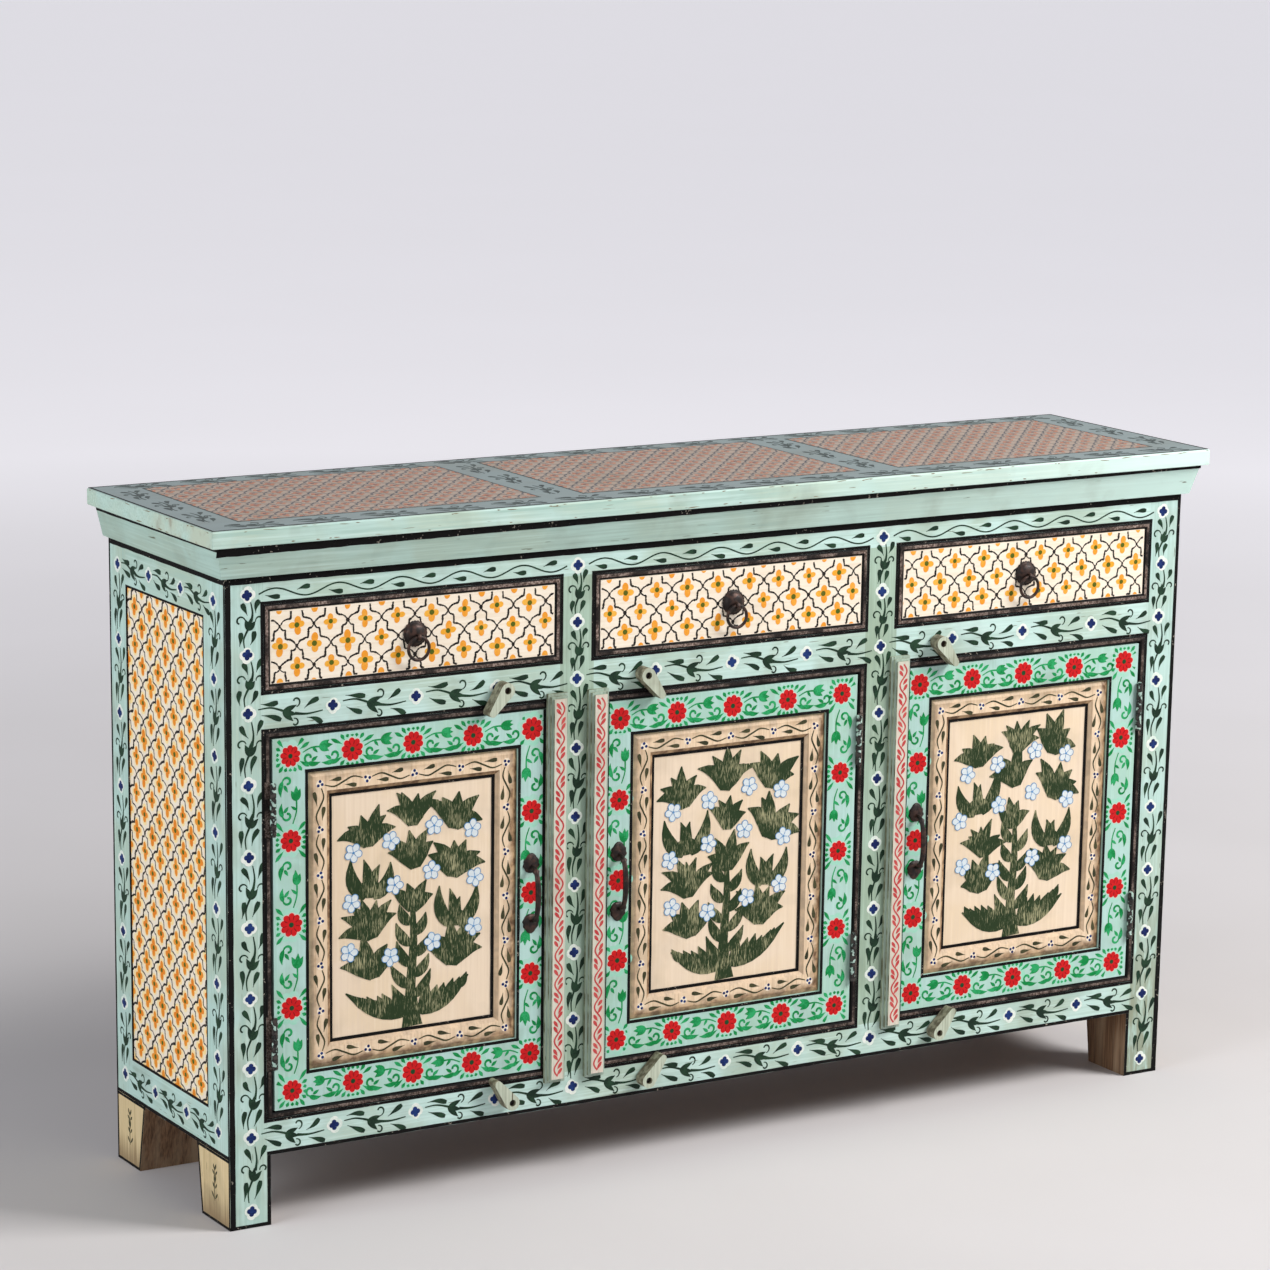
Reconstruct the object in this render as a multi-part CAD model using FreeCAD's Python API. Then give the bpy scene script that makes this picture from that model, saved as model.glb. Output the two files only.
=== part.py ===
import FreeCAD, Part
import math
import os

# Sideboard with three drawers over three cupboards, on plank legs.
# Millimetres, +Z up, the front faces -Y, origin on the floor under the middle of the top board.

Vec = FreeCAD.Vector
UP = Vec(0, 0, 1)
ALONG_X = Vec(1, 0, 0)
ALONG_Y = Vec(0, 1, 0)

# Heights, from the floor up
leg_height = 93.0
bottom_rail_height = 47.0
door_opening_height = 500.0
middle_rail_height = 51.0
drawer_opening_height = 109.0
top_rail_height = 37.0            # the part of the top rail that shows below the cornice
cornice_height = 41.0
top_thickness = 22.0
side_bottom_rail_height = 54.0
side_top_rail_height = 56.0       # the part that shows below the cornice

# Widths across the front
post_width = 52.0
bay_width = 420.0
mullion_width = 50.0
door_hinged_left = (True, False, False)

# Depths, from the front back
body_depth = 344.0
front_post_depth = 61.0
back_post_depth = 50.0
rail_thickness = 25.0
side_rail_thickness = 24.0
back_rail_thickness = 24.0

# Top board and cornice
front_overhang = 25.0
side_overhang = 28.0
back_overhang = 4.0
top_edge_round = 3.0
cornice_foot = 8.0                # cornice thickness at its lower edge
cornice_crown = 18.0              # and just under the top board

# Legs, which taper in depth towards the floor
front_leg_width = 57.0
front_leg_depth_top = 96.0
front_leg_depth_floor = 83.0
back_leg_width = 110.0
back_leg_depth_top = 88.0
back_leg_depth_floor = 70.0

# Boards inside and at the back and sides
side_panel_thickness = 12.0
side_panel_recess = 1.5
back_plank_thickness = 12.0
back_plank_count = 6
back_plank_gap = 1.0
back_plank_lap = 10.0             # how far a plank's rear half reaches behind the next plank
bottom_board_thickness = 14.0
deck_thickness = 12.0
partition_thickness = 18.0

# Worn beads that line the drawer and door openings
bead_width = 8.0
bead_depth = 22.0
bead_proud = 1.6
bead_facets = 6

# Doors
door_thickness = 22.0
door_proud = 0.4                  # door face in front of the carcass, so that the cover strip clears it
leaf_gap = 2.0                    # above and below the door
free_gap = 2.0                    # beside the door's free edge
hinge_gap = 3.0                   # beside the hinged edge, filled by the hinge leaves
door_hinge_stile = 49.0
door_free_stile = 59.0
door_rail_height = 47.0
door_panel_recess = 6.0
door_panel_thickness = 10.0
moulding_width = 31.0
moulding_bevel = 7.0              # sloping outer edge
moulding_fall = 5.0               # sloping inner edge
moulding_sink = 0.5               # crest below the door's face
moulding_edge = 2.0               # height of both edges over the panel
strip_width = 30.0
strip_lap = 10.0                  # over the mullion and past the opening's top and bottom
strip_steps = ((0.0, 5.0), (3.2, 9.0), (6.0, 12.0))   # inset and height of each step

# Door handle
handle_height = 389.0             # middle of the handle over the floor
handle_span = 72.0                # between the ends of the grip
handle_stand = 20.0               # middle of the grip from the door's face
handle_grip_radius = 3.8
handle_foot_length = 27.0
handle_foot_width = 24.0
handle_foot_thickness = 3.0

# Hinges
hinge_length = 65.0
hinge_inset = 89.0                # middle of the hinge from the door's end
knuckle_radius = 4.0
knuckle_clearance = 0.3
knuckle_gap = 0.4                 # between neighbouring knuckles
hinge_leaf_clearance = 0.1
hinge_leaf_depth = 18.0
hinge_pin_radius = 2.0
pin_clearance = 0.05
hinge_pin_head_radius = 3.0
hinge_pin_head = 1.5
hinge_notch_clearance = 2.0       # bead cut away past the hinge's ends

# Drawers
drawer_gap = 1.0                  # round the drawer front
drawer_front_thickness = 20.0
drawer_side_thickness = 12.0
drawer_side_inset = 1.0
drawer_side_height = 80.0
drawer_bottom_thickness = 6.0
drawer_bottom_raise = 4.0
drawer_back_gap = 6.0             # behind the drawer
runner_clearance = 0.3            # under the drawer
cheek_clearance = 0.5             # beside the drawer
runner_tread = 18.0               # how far a runner reaches under the drawer
runner_cheek_height = 35.0

# Ring pulls
pull_radius = 17.0
pull_plate_thickness = 2.5
pull_dome_radius = 10.5
pull_dome_height = 5.0
pull_eye_drop = 3.0               # eye below the middle of the plate
pull_eye_stand = 10.5             # eye in front of the drawer
pull_eye_radius = 4.6
pull_eye_width = 5.0
ring_radius = 14.5
ring_wire_radius = 2.1
ring_clearance = 0.5

# Turn buttons that hold the doors shut
latch_place_top = (87.0, 71.0, 64.0)         # from the free side of each bay
latch_place_bottom = (76.0, 81.0, 78.0)
latch_reach = 34.0                # pivot to the door's edge
latch_length = 40.0               # pivot to tip
latch_head_radius = 10.0
latch_tip_radius = 5.0
latch_thickness = 18.0
latch_standoff = 2.2
latch_boss_radius = 7.0
latch_boss_clearance = 0.3
latch_edge_clearance = 1.2        # tip to the door's edge where the latch is turned aside
latch_screw_radius = 2.5
latch_screw_head_radius = 4.3
latch_screw_head = 3.0
latch_screw_depth = 12.0          # in the rail
latch_counterbore_radius = 4.6
latch_counterbore = 8.0
latch_screw_play = 0.1            # under the screw's head

# Places that follow from the sizes
bay_count = len(door_hinged_left)
body_width = 2 * post_width + bay_count * bay_width + (bay_count - 1) * mullion_width
left = -body_width / 2
right = body_width / 2
front = front_overhang - (body_depth + front_overhang + back_overhang) / 2
back = front + body_depth
door_low = leg_height + bottom_rail_height
door_high = door_low + door_opening_height
drawer_low = door_high + middle_rail_height
drawer_high = drawer_low + drawer_opening_height
body_top = drawer_high + top_rail_height
top_low = body_top + cornice_height
overall_height = top_low + top_thickness
rail_back = front + rail_thickness
boards_back = back - back_rail_thickness
side_panel_low = leg_height + side_bottom_rail_height
side_panel_high = body_top - side_top_rail_height
side_panel_inner = side_panel_recess + side_panel_thickness

door_face = front - door_proud
leaf_start = bead_width + hinge_gap
leaf_end = bay_width - free_gap
leaf_low = door_low + bead_width + leaf_gap
leaf_high = door_high - bead_width - leaf_gap
panel_start = leaf_start + door_hinge_stile
panel_end = leaf_end - door_free_stile
panel_low = leaf_low + door_rail_height
panel_high = leaf_high - door_rail_height
panel_face = door_face + door_panel_recess
strip_start = bay_width + strip_lap - strip_width
strip_end = bay_width + strip_lap
handle_place = (panel_end + strip_start) / 2
hinge_axis_x = bead_width + hinge_gap / 2
hinge_axis_y = door_face - knuckle_radius - knuckle_clearance
hinge_lows = (leaf_low + hinge_inset - hinge_length / 2, leaf_high - hinge_inset - hinge_length / 2)

drawer_face_low = drawer_low + bead_width + drawer_gap
drawer_face_high = drawer_high - bead_width - drawer_gap
drawer_back = boards_back - drawer_back_gap
drawer_middle = (drawer_low + drawer_high) / 2
pull_eye_height = drawer_middle - pull_eye_drop
pull_eye_y = front - pull_eye_stand

latch_top_height = leaf_high + latch_reach
latch_bottom_height = leaf_low - latch_reach
latch_back = front - latch_standoff
latch_face = latch_back - latch_thickness
latch_arm = latch_length - latch_tip_radius
latch_tilt = math.degrees(math.acos((latch_reach - latch_edge_clearance - latch_tip_radius) / latch_arm))


# Helpers

def box(x0, x1, y0, y1, z0, z1):
    return Part.makeBox(x1 - x0, y1 - y0, z1 - z0, Vec(x0, y0, z0))


def cylinder(radius, base, axis, length):
    return Part.makeCylinder(radius, length, base, axis)


def outline(points):
    return Part.makePolygon(points + points[:1])


def ruled(points_a, points_b):
    """Solid with flat sides between two matching outlines."""
    faces = [Part.Face(outline(points_a)), Part.Face(outline(points_b))]
    for index in range(len(points_a)):
        before = index - 1
        faces.append(Part.Face(outline([points_a[before], points_a[index], points_b[index], points_b[before]])))
    shell = Part.makeShell(faces)
    shell.sewShape()
    solid = Part.makeSolid(shell)
    if solid.Volume < 0:
        solid.reverse()
    return solid


def fused(shapes):
    return shapes[0].multiFuse(shapes[1:]).removeSplitter()


def group(shapes):
    return Part.makeCompound(shapes)


def mirrored(shape):
    return shape.mirror(Vec(0, 0, 0), ALONG_X)


def bay_left(bay):
    return left + post_width + bay * (bay_width + mullion_width)


def bay_right(bay):
    return bay_left(bay) + bay_width


def in_bay(shape, bay):
    """Moves a shape drawn from its hinged side at x = 0 into its bay, turned over if hinged right."""
    if door_hinged_left[bay]:
        return shape.translated(Vec(bay_left(bay), 0, 0))
    return mirrored(shape).translated(Vec(bay_right(bay), 0, 0))


def moulding_strip(profile, length, start_slope, end_slope):
    """Moulding along +X. The profile's points are (inward, outward); a slope of 1 mitres an end."""
    def end(x, slope):
        return [Vec(x + slope * inward, -outward, inward) for inward, outward in profile]
    return ruled(end(0, start_slope), end(length, -end_slope))


def turned(shape, degrees, place):
    """Turns a shape about the Y axis through the origin, then moves it."""
    copy = shape.copy()
    copy.rotate(Vec(0, 0, 0), ALONG_Y, degrees)
    copy.translate(place)
    return copy


def moulding_frame(profile, x0, x1, y, z0, z1):
    """Four mitred strips round an upright rectangle, as separate solids."""
    level = moulding_strip(profile, x1 - x0, 1, 1)
    upright = moulding_strip(profile, z1 - z0, 1, 1)
    return [
        turned(level, 0, Vec(x0, y, z0)),
        turned(level, 180, Vec(x1, y, z1)),
        turned(upright, 90, Vec(x0, y, z1)),
        turned(upright, -90, Vec(x1, y, z0)),
    ]


def save(shape, name):
    shape.exportStep("parts/" + name + ".step")


# Carcass

def rectangle(x0, x1, y0, y1, z):
    return [Vec(x0, y0, z), Vec(x1, y0, z), Vec(x1, y1, z), Vec(x0, y1, z)]


def front_post():
    post = box(left, left + post_width, front, front + front_post_depth, leg_height, top_low)
    leg = ruled(rectangle(left, left + front_leg_width, front, front + front_leg_depth_floor, 0),
                rectangle(left, left + front_leg_width, front, front + front_leg_depth_top, leg_height))
    return fused([post, leg])


def back_post():
    post = box(left, left + post_width, back - back_post_depth, back, leg_height, top_low)
    leg = ruled(rectangle(left, left + back_leg_width, back - back_leg_depth_floor, back, 0),
                rectangle(left, left + back_leg_width, back - back_leg_depth_top, back, leg_height))
    return fused([post, leg])


def top_board():
    board = box(left - side_overhang, right + side_overhang, front - front_overhang, back + back_overhang,
                top_low, overall_height)
    upper = [edge for edge in board.Edges if edge.BoundBox.ZMin > top_low + top_thickness / 2]
    return board.makeFillet(top_edge_round, upper)


def cornice_section(x, y, x_out, y_out):
    """Cornice outline in an upright plane; x_out and y_out point outwards from a body corner."""
    profile = ((0, body_top), (cornice_foot, body_top), (cornice_crown, top_low), (0, top_low))
    return [Vec(x + x_out * out, y + y_out * out, z) for out, z in profile]


def cornice_front():
    return ruled(cornice_section(left, front, -1, -1), cornice_section(right, front, 1, -1))


def cornice_left():
    return ruled(cornice_section(left, front, -1, -1), cornice_section(left, back, -1, 0))


def latch_shank(x, z):
    return cylinder(latch_screw_radius, Vec(x, front - latch_standoff, z), ALONG_Y,
                    latch_standoff + latch_screw_depth)


def latch_x(bay, places):
    if door_hinged_left[bay]:
        return bay_right(bay) - places[bay]
    return bay_left(bay) + places[bay]


def front_rail(x0, x1, z0, z1):
    return box(x0, x1, front, rail_back, z0, z1)


def middle_rail(bay):
    rail = front_rail(bay_left(bay), bay_right(bay), door_high, drawer_low)
    return rail.cut(latch_shank(latch_x(bay, latch_place_top), latch_top_height))


def bottom_rail():
    rail = front_rail(left + post_width, right - post_width, leg_height, door_low)
    shanks = [latch_shank(latch_x(bay, latch_place_bottom), latch_bottom_height) for bay in range(bay_count)]
    return rail.cut(shanks)


def side_rails():
    rails = []
    for z0, z1 in ((leg_height, side_panel_low), (side_panel_high, top_low)):
        rails.append(box(left, left + side_rail_thickness, front + front_post_depth, back - back_post_depth, z0, z1))
    return group(rails)


def side_panel():
    return box(left + side_panel_recess, left + side_panel_inner, front + front_post_depth,
               back - back_post_depth, side_panel_low, side_panel_high)


def back_panel():
    x0 = left + post_width
    x1 = right - post_width
    low = box(x0, x1, boards_back, back, leg_height, door_low)
    high = box(x0, x1, boards_back, back, drawer_high, top_low)
    step = (x1 - x0 + back_plank_gap) / back_plank_count
    middle = boards_back + back_plank_thickness / 2
    planks = []
    for plank in range(back_plank_count):
        start = x0 + plank * step
        end = start + step - back_plank_gap
        rear_start = start if plank == 0 else start + back_plank_lap
        rear_end = end if plank == back_plank_count - 1 else end + back_plank_lap
        front_half = box(start, end, boards_back, middle, door_low, drawer_high)
        rear_half = box(rear_start, rear_end, middle, boards_back + back_plank_thickness, door_low, drawer_high)
        planks.append(fused([front_half, rear_half]))
    return group([low, high] + planks)


def inner_board(inset, z0, z1, posts):
    """Board from side to side between the front rails and the back, notched round the posts."""
    return box(left + inset, right - inset, rail_back, boards_back, z0, z1).cut(posts)


def mullion_middle(index):
    return bay_right(index) + mullion_width / 2


def partition(index):
    middle = mullion_middle(index)
    return box(middle - partition_thickness / 2, middle + partition_thickness / 2, rail_back, boards_back,
               door_low, drawer_low - deck_thickness)


def drawer_runner_pair(bay):
    """Two angle pieces on the deck: a tread under each drawer side and a cheek beside it."""
    runners = []
    for edge, inward in ((bay_left(bay), 1), (bay_right(bay), -1)):
        side = edge + inward * (bead_width + drawer_gap + drawer_side_inset)
        tread = sorted((edge, side + inward * runner_tread))
        cheek = sorted((edge, side - inward * cheek_clearance))
        runners.append(fused([
            box(tread[0], tread[1], rail_back, boards_back, drawer_low, drawer_face_low - runner_clearance),
            box(cheek[0], cheek[1], rail_back, boards_back, drawer_low, drawer_low + runner_cheek_height)]))
    return runners


# Beads round the openings

def bead_profile():
    """Half-round face on a lining strip, as (inward, outward) points."""
    points = [(0, -bead_depth)]
    for step in range(bead_facets + 1):
        angle = math.pi * step / bead_facets
        points.append((bead_width / 2 * (1 - math.cos(angle)), bead_proud * math.sin(angle)))
    points.append((bead_width, -bead_depth))
    return points


def door_bead():
    """Bead on three sides of a door opening, cut back under the hinges; the cover strip closes the fourth."""
    profile = bead_profile()
    level_length = strip_start - free_gap
    upright = turned(moulding_strip(profile, door_opening_height, 1, 1), 90, Vec(0, front, door_high))
    for low in hinge_lows:
        upright = upright.cut(box(-bead_width, 2 * bead_width, front - 2 * bead_proud, front,
                                  low - hinge_pin_head - hinge_notch_clearance,
                                  low + hinge_length + hinge_pin_head + hinge_notch_clearance))
    return [
        upright,
        turned(moulding_strip(profile, level_length, 1, 0), 0, Vec(0, front, door_low)),
        turned(moulding_strip(profile, level_length, 0, 1), 180, Vec(level_length, front, door_high)),
    ]


def opening_beads():
    beads = []
    for bay in range(bay_count):
        beads += moulding_frame(bead_profile(), bay_left(bay), bay_right(bay), front, drawer_low, drawer_high)
        beads += [in_bay(bead, bay) for bead in door_bead()]
    return group(beads)


# Doors, drawn from the hinged side at x = 0

def door_frame():
    y1 = door_face + door_thickness
    return group([
        box(leaf_start, panel_start, door_face, y1, leaf_low, leaf_high),
        box(panel_end, leaf_end, door_face, y1, leaf_low, leaf_high),
        box(panel_start, panel_end, door_face, y1, leaf_low, panel_low),
        box(panel_start, panel_end, door_face, y1, panel_high, leaf_high),
    ])


def door_panel():
    return box(panel_start, panel_end, panel_face, panel_face + door_panel_thickness, panel_low, panel_high)


def door_moulding():
    crest = door_panel_recess - moulding_sink
    profile = [(0, 0), (0, moulding_edge), (moulding_bevel, crest), (moulding_width - moulding_fall, crest),
               (moulding_width, moulding_edge), (moulding_width, 0)]
    return group(moulding_frame(profile, panel_start, panel_end, panel_face, panel_low, panel_high))


def door_strip():
    layers = []
    base = 0.0
    for inset, height in strip_steps:
        layers.append(box(strip_start + inset, strip_end - inset, door_face - height, door_face - base,
                          door_low - strip_lap + inset, door_high + strip_lap - inset))
        base = height
    return fused(layers)


def handle_foot(tip_up):
    """Leaf-shaped foot, rounded at its outer tip and widest where the grip springs from it."""
    way = 1 if tip_up else -1
    inner = handle_height + way * (handle_span / 2 - handle_foot_length / 3)
    outer = inner + way * handle_foot_length
    half = handle_foot_width / 2
    y = door_face
    widest = inner + way * handle_foot_length / 3
    bottom = Vec(handle_place, y, inner)
    tip = Vec(handle_place, y, outer)
    side_a = Vec(handle_place - half, y, widest)
    side_b = Vec(handle_place + half, y, widest)
    swell = handle_foot_width / 3
    edges = [
        Part.Arc(side_a, bottom, side_b).toShape(),
        Part.Arc(side_b, Vec(handle_place + swell, y, (widest + outer) / 2), tip).toShape(),
        Part.Arc(tip, Vec(handle_place - swell, y, (widest + outer) / 2), side_a).toShape(),
    ]
    return Part.Face(Part.Wire(edges)).extrude(Vec(0, -handle_foot_thickness, 0))


def door_handle():
    """Arched grip, part of a ring, between two leaf-shaped feet."""
    rise = handle_stand - handle_foot_thickness / 2
    half = handle_span / 2
    bend = (half * half + rise * rise) / (2 * rise)
    foot_y = door_face - handle_foot_thickness / 2
    middle = Vec(handle_place, foot_y - rise + bend, handle_height)
    sweep = math.degrees(2 * math.asin(half / bend))
    section = Part.Face(Part.Wire(Part.makeCircle(handle_grip_radius,
                                                  Vec(handle_place, middle.y - bend, handle_height), UP)))
    section.rotate(middle, ALONG_X, -sweep / 2)
    grip = section.revolve(middle, ALONG_X, sweep)
    behind = box(handle_place - handle_foot_width, handle_place + handle_foot_width,
                 door_face, door_face + handle_span, handle_height - handle_span, handle_height + handle_span)
    return fused([grip.cut(behind), handle_foot(True), handle_foot(False)])


def hinge_half(low, knuckles, x0, x1):
    """One leaf of a hinge with its knuckles, given as (start, end) shares of the hinge's length."""
    pieces = [box(x0, x1, front + knuckle_clearance, front + hinge_leaf_depth, low, low + hinge_length)]
    for start, end in knuckles:
        base = Vec(hinge_axis_x, hinge_axis_y, low + start)
        pieces.append(cylinder(knuckle_radius, base, UP, end - start))
        pieces.append(box(x0, x1, hinge_axis_y, front + knuckle_clearance, low + start, low + end))
    bore = cylinder(hinge_pin_radius + pin_clearance, Vec(hinge_axis_x, hinge_axis_y, low), UP, hinge_length)
    return fused(pieces).cut(bore)


def hinge_frame_half(low):
    third = hinge_length / 3
    knuckles = ((0, third - knuckle_gap / 2), (hinge_length - third + knuckle_gap / 2, hinge_length))
    return hinge_half(low, knuckles, bead_width, hinge_axis_x - hinge_leaf_clearance)


def hinge_door_half(low):
    third = hinge_length / 3
    knuckles = ((third + knuckle_gap / 2, hinge_length - third - knuckle_gap / 2),)
    return hinge_half(low, knuckles, hinge_axis_x + hinge_leaf_clearance, leaf_start)


def hinge_pin(low):
    start = Vec(hinge_axis_x, hinge_axis_y, low)
    return fused([
        cylinder(hinge_pin_radius, start, UP, hinge_length),
        cylinder(hinge_pin_head_radius, start - UP * hinge_pin_head, UP, hinge_pin_head),
        cylinder(hinge_pin_head_radius, start + UP * hinge_length, UP, hinge_pin_head),
    ])


# Drawers

def drawer_front(bay):
    return box(bay_left(bay) + bead_width + drawer_gap, bay_right(bay) - bead_width - drawer_gap,
               front, front + drawer_front_thickness, drawer_face_low, drawer_face_high)


def drawer_box(bay):
    inset = bead_width + drawer_gap + drawer_side_inset
    x0 = bay_left(bay) + inset
    x1 = bay_right(bay) - inset
    y0 = front + drawer_front_thickness
    z0 = drawer_face_low
    z1 = z0 + drawer_side_height
    wall = drawer_side_thickness
    floor_low = z0 + drawer_bottom_raise
    return group([
        box(x0, x0 + wall, y0, drawer_back, z0, z1),
        box(x1 - wall, x1, y0, drawer_back, z0, z1),
        box(x0 + wall, x1 - wall, drawer_back - wall, drawer_back, z0, z1),
        box(x0 + wall, x1 - wall, y0, drawer_back - wall, floor_low, floor_low + drawer_bottom_thickness),
    ])


def drawer_pull(bay):
    """Round plate, shallow dome and an eye that the ring passes through."""
    x = (bay_left(bay) + bay_right(bay)) / 2
    middle = Vec(x, front, drawer_middle)
    outwards = Vec(0, -1, 0)
    plate = cylinder(pull_radius, middle, outwards, pull_plate_thickness)
    ball_radius = (pull_dome_radius ** 2 + pull_dome_height ** 2) / (2 * pull_dome_height)
    ball_middle = middle + outwards * (pull_plate_thickness + pull_dome_height - ball_radius)
    beyond = cylinder(pull_dome_radius, middle + outwards * (pull_plate_thickness / 2), outwards, ball_radius)
    dome = Part.makeSphere(ball_radius, ball_middle).common(beyond)
    half = pull_eye_width / 2
    eye_start = Vec(x - half, pull_eye_y, pull_eye_height)
    eye = cylinder(pull_eye_radius, eye_start, ALONG_X, pull_eye_width)
    neck = box(x - half, x + half, pull_eye_y, front - pull_plate_thickness / 2,
               pull_eye_height - pull_eye_radius, pull_eye_height + pull_eye_radius)
    hole = cylinder(ring_wire_radius + ring_clearance, eye_start, ALONG_X, pull_eye_width)
    return fused([plate, dome, neck, eye]).cut(hole)


def pull_ring(bay):
    x = (bay_left(bay) + bay_right(bay)) / 2
    return Part.makeTorus(ring_radius, ring_wire_radius, Vec(x, pull_eye_y, pull_eye_height - ring_radius), ALONG_Y)


# Turn buttons, drawn with the tail down, about a pivot on the Y axis

def latch_outline():
    slant = (latch_head_radius - latch_tip_radius) / latch_arm
    lean = math.sqrt(1 - slant * slant)
    tip_middle = Vec(0, 0, -latch_arm)
    right_way = Vec(lean, 0, -slant)
    left_way = Vec(-lean, 0, -slant)
    head_right = right_way * latch_head_radius
    head_left = left_way * latch_head_radius
    tip_right = tip_middle + right_way * latch_tip_radius
    tip_left = tip_middle + left_way * latch_tip_radius
    return Part.Face(Part.Wire([
        Part.LineSegment(head_right, tip_right).toShape(),
        Part.Arc(tip_right, Vec(0, 0, -latch_length), tip_left).toShape(),
        Part.LineSegment(tip_left, head_left).toShape(),
        Part.Arc(head_left, Vec(0, 0, latch_head_radius), head_right).toShape(),
    ]))


def latch():
    body = latch_outline().extrude(Vec(0, -latch_thickness, 0))
    body.translate(Vec(0, latch_back, 0))
    boss = cylinder(latch_boss_radius, Vec(0, latch_back, 0), ALONG_Y, latch_standoff - latch_boss_clearance)
    bore = cylinder(latch_screw_radius + pin_clearance, Vec(0, latch_face, 0), ALONG_Y,
                    latch_thickness + latch_standoff)
    counterbore = cylinder(latch_counterbore_radius, Vec(0, latch_face, 0), ALONG_Y, latch_counterbore)
    return fused([body, boss]).cut([bore, counterbore])


def latch_screw(x, z):
    head_back = latch_face + latch_counterbore - latch_screw_play
    head = cylinder(latch_screw_head_radius, Vec(x, head_back - latch_screw_head, z), ALONG_Y, latch_screw_head)
    shank = cylinder(latch_screw_radius, Vec(x, head_back, z), ALONG_Y, front + latch_screw_depth - head_back)
    return fused([head, shank])


def latch_in_place(bay, top):
    """A latch turned aside, its tail towards the middle of the door."""
    towards = 1 if door_hinged_left[bay] else -1
    if top:
        return turned(latch(), towards * latch_tilt, Vec(latch_x(bay, latch_place_top), 0, latch_top_height))
    return turned(latch(), 180 - towards * latch_tilt,
                  Vec(latch_x(bay, latch_place_bottom), 0, latch_bottom_height))


# All pieces

os.makedirs("parts", exist_ok=True)

front_left = front_post()
back_left = back_post()
posts = {
    "post_front_left": front_left,
    "post_front_right": mirrored(front_left),
    "post_back_left": back_left,
    "post_back_right": mirrored(back_left),
}
for name, post in posts.items():
    save(post, name)
post_list = list(posts.values())

save(top_board(), "top_board")
save(cornice_front(), "cornice_front")
save(cornice_left(), "cornice_left")
save(mirrored(cornice_left()), "cornice_right")
save(front_rail(left + post_width, right - post_width, drawer_high, top_low), "top_rail")
save(group([middle_rail(bay) for bay in range(bay_count)]), "middle_rails")
save(bottom_rail(), "bottom_rail")
save(group([front_rail(bay_right(index), bay_right(index) + mullion_width, door_low, drawer_high)
            for index in range(bay_count - 1)]), "mullions")
save(side_rails(), "side_rails_left")
save(mirrored(side_rails()), "side_rails_right")
save(side_panel(), "side_panel_left")
save(mirrored(side_panel()), "side_panel_right")
save(back_panel(), "back_panel")
save(inner_board(side_rail_thickness, door_low - bottom_board_thickness, door_low, post_list), "bottom_board")
save(inner_board(side_panel_inner, drawer_low - deck_thickness, drawer_low, post_list), "drawer_deck")
save(group([partition(index) for index in range(bay_count - 1)]), "partitions")
save(group([runner for bay in range(bay_count) for runner in drawer_runner_pair(bay)]), "drawer_runners")
save(opening_beads(), "opening_beads")

frame_halves = []
screws = []
for bay in range(bay_count):
    number = str(bay + 1)
    save(in_bay(door_frame(), bay), "door_" + number + "_frame")
    save(in_bay(door_panel(), bay), "door_" + number + "_panel")
    save(in_bay(door_moulding(), bay), "door_" + number + "_moulding")
    save(in_bay(door_strip(), bay), "door_" + number + "_cover_strip")
    save(in_bay(door_handle(), bay), "door_" + number + "_handle")
    save(in_bay(group([hinge_door_half(low) for low in hinge_lows]), bay), "door_" + number + "_hinge_leaves")
    for low in hinge_lows:
        frame_halves.append(in_bay(hinge_frame_half(low), bay))
        frame_halves.append(in_bay(hinge_pin(low), bay))

    save(drawer_front(bay), "drawer_" + number + "_front")
    save(drawer_box(bay), "drawer_" + number + "_box")
    save(drawer_pull(bay), "drawer_" + number + "_pull")
    save(pull_ring(bay), "drawer_" + number + "_ring")

    save(latch_in_place(bay, True), "latch_top_" + number)
    save(latch_in_place(bay, False), "latch_bottom_" + number)
    screws.append(latch_screw(latch_x(bay, latch_place_top), latch_top_height))
    screws.append(latch_screw(latch_x(bay, latch_place_bottom), latch_bottom_height))

save(group(frame_halves), "hinge_frame_leaves")
save(group(screws), "latch_screws")
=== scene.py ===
# Looks of the painted sideboard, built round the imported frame. Millimetres unless a name says otherwise.
import math
import random

import bpy
from mathutils import Matrix, Vector


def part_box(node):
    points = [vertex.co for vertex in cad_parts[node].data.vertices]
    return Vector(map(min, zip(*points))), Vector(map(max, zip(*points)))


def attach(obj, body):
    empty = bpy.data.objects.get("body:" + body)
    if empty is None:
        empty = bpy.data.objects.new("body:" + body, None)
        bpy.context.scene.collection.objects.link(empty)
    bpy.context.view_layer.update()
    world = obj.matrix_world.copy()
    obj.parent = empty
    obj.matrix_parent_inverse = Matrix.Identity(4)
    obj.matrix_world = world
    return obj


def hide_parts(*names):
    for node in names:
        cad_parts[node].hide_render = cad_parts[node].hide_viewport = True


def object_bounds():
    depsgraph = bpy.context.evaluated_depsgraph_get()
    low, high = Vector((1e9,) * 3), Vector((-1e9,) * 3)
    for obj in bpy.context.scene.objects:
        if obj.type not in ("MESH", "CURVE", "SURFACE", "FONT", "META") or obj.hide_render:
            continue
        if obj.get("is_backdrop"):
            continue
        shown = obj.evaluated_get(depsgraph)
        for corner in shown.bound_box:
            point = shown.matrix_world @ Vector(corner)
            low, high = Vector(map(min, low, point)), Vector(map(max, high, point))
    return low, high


MM = 0.001

# Camera, fitted to the photograph's straight edges
PHOTO_SIDE = 1270.0               # pixels
CAMERA_PLACE = (-2918.5, -4775.1, 1777.8)
CAMERA_YAW = 0.54131              # radians
CAMERA_PITCH = 0.23998            # radians, downwards
CAMERA_ROLL = 0.01417             # radians
CAMERA_FOCUS = 4244.5             # pixels
CAMERA_MIDDLE_ROW = 826.0         # pixels, row of the lens axis
SENSOR = 36.0

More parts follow.
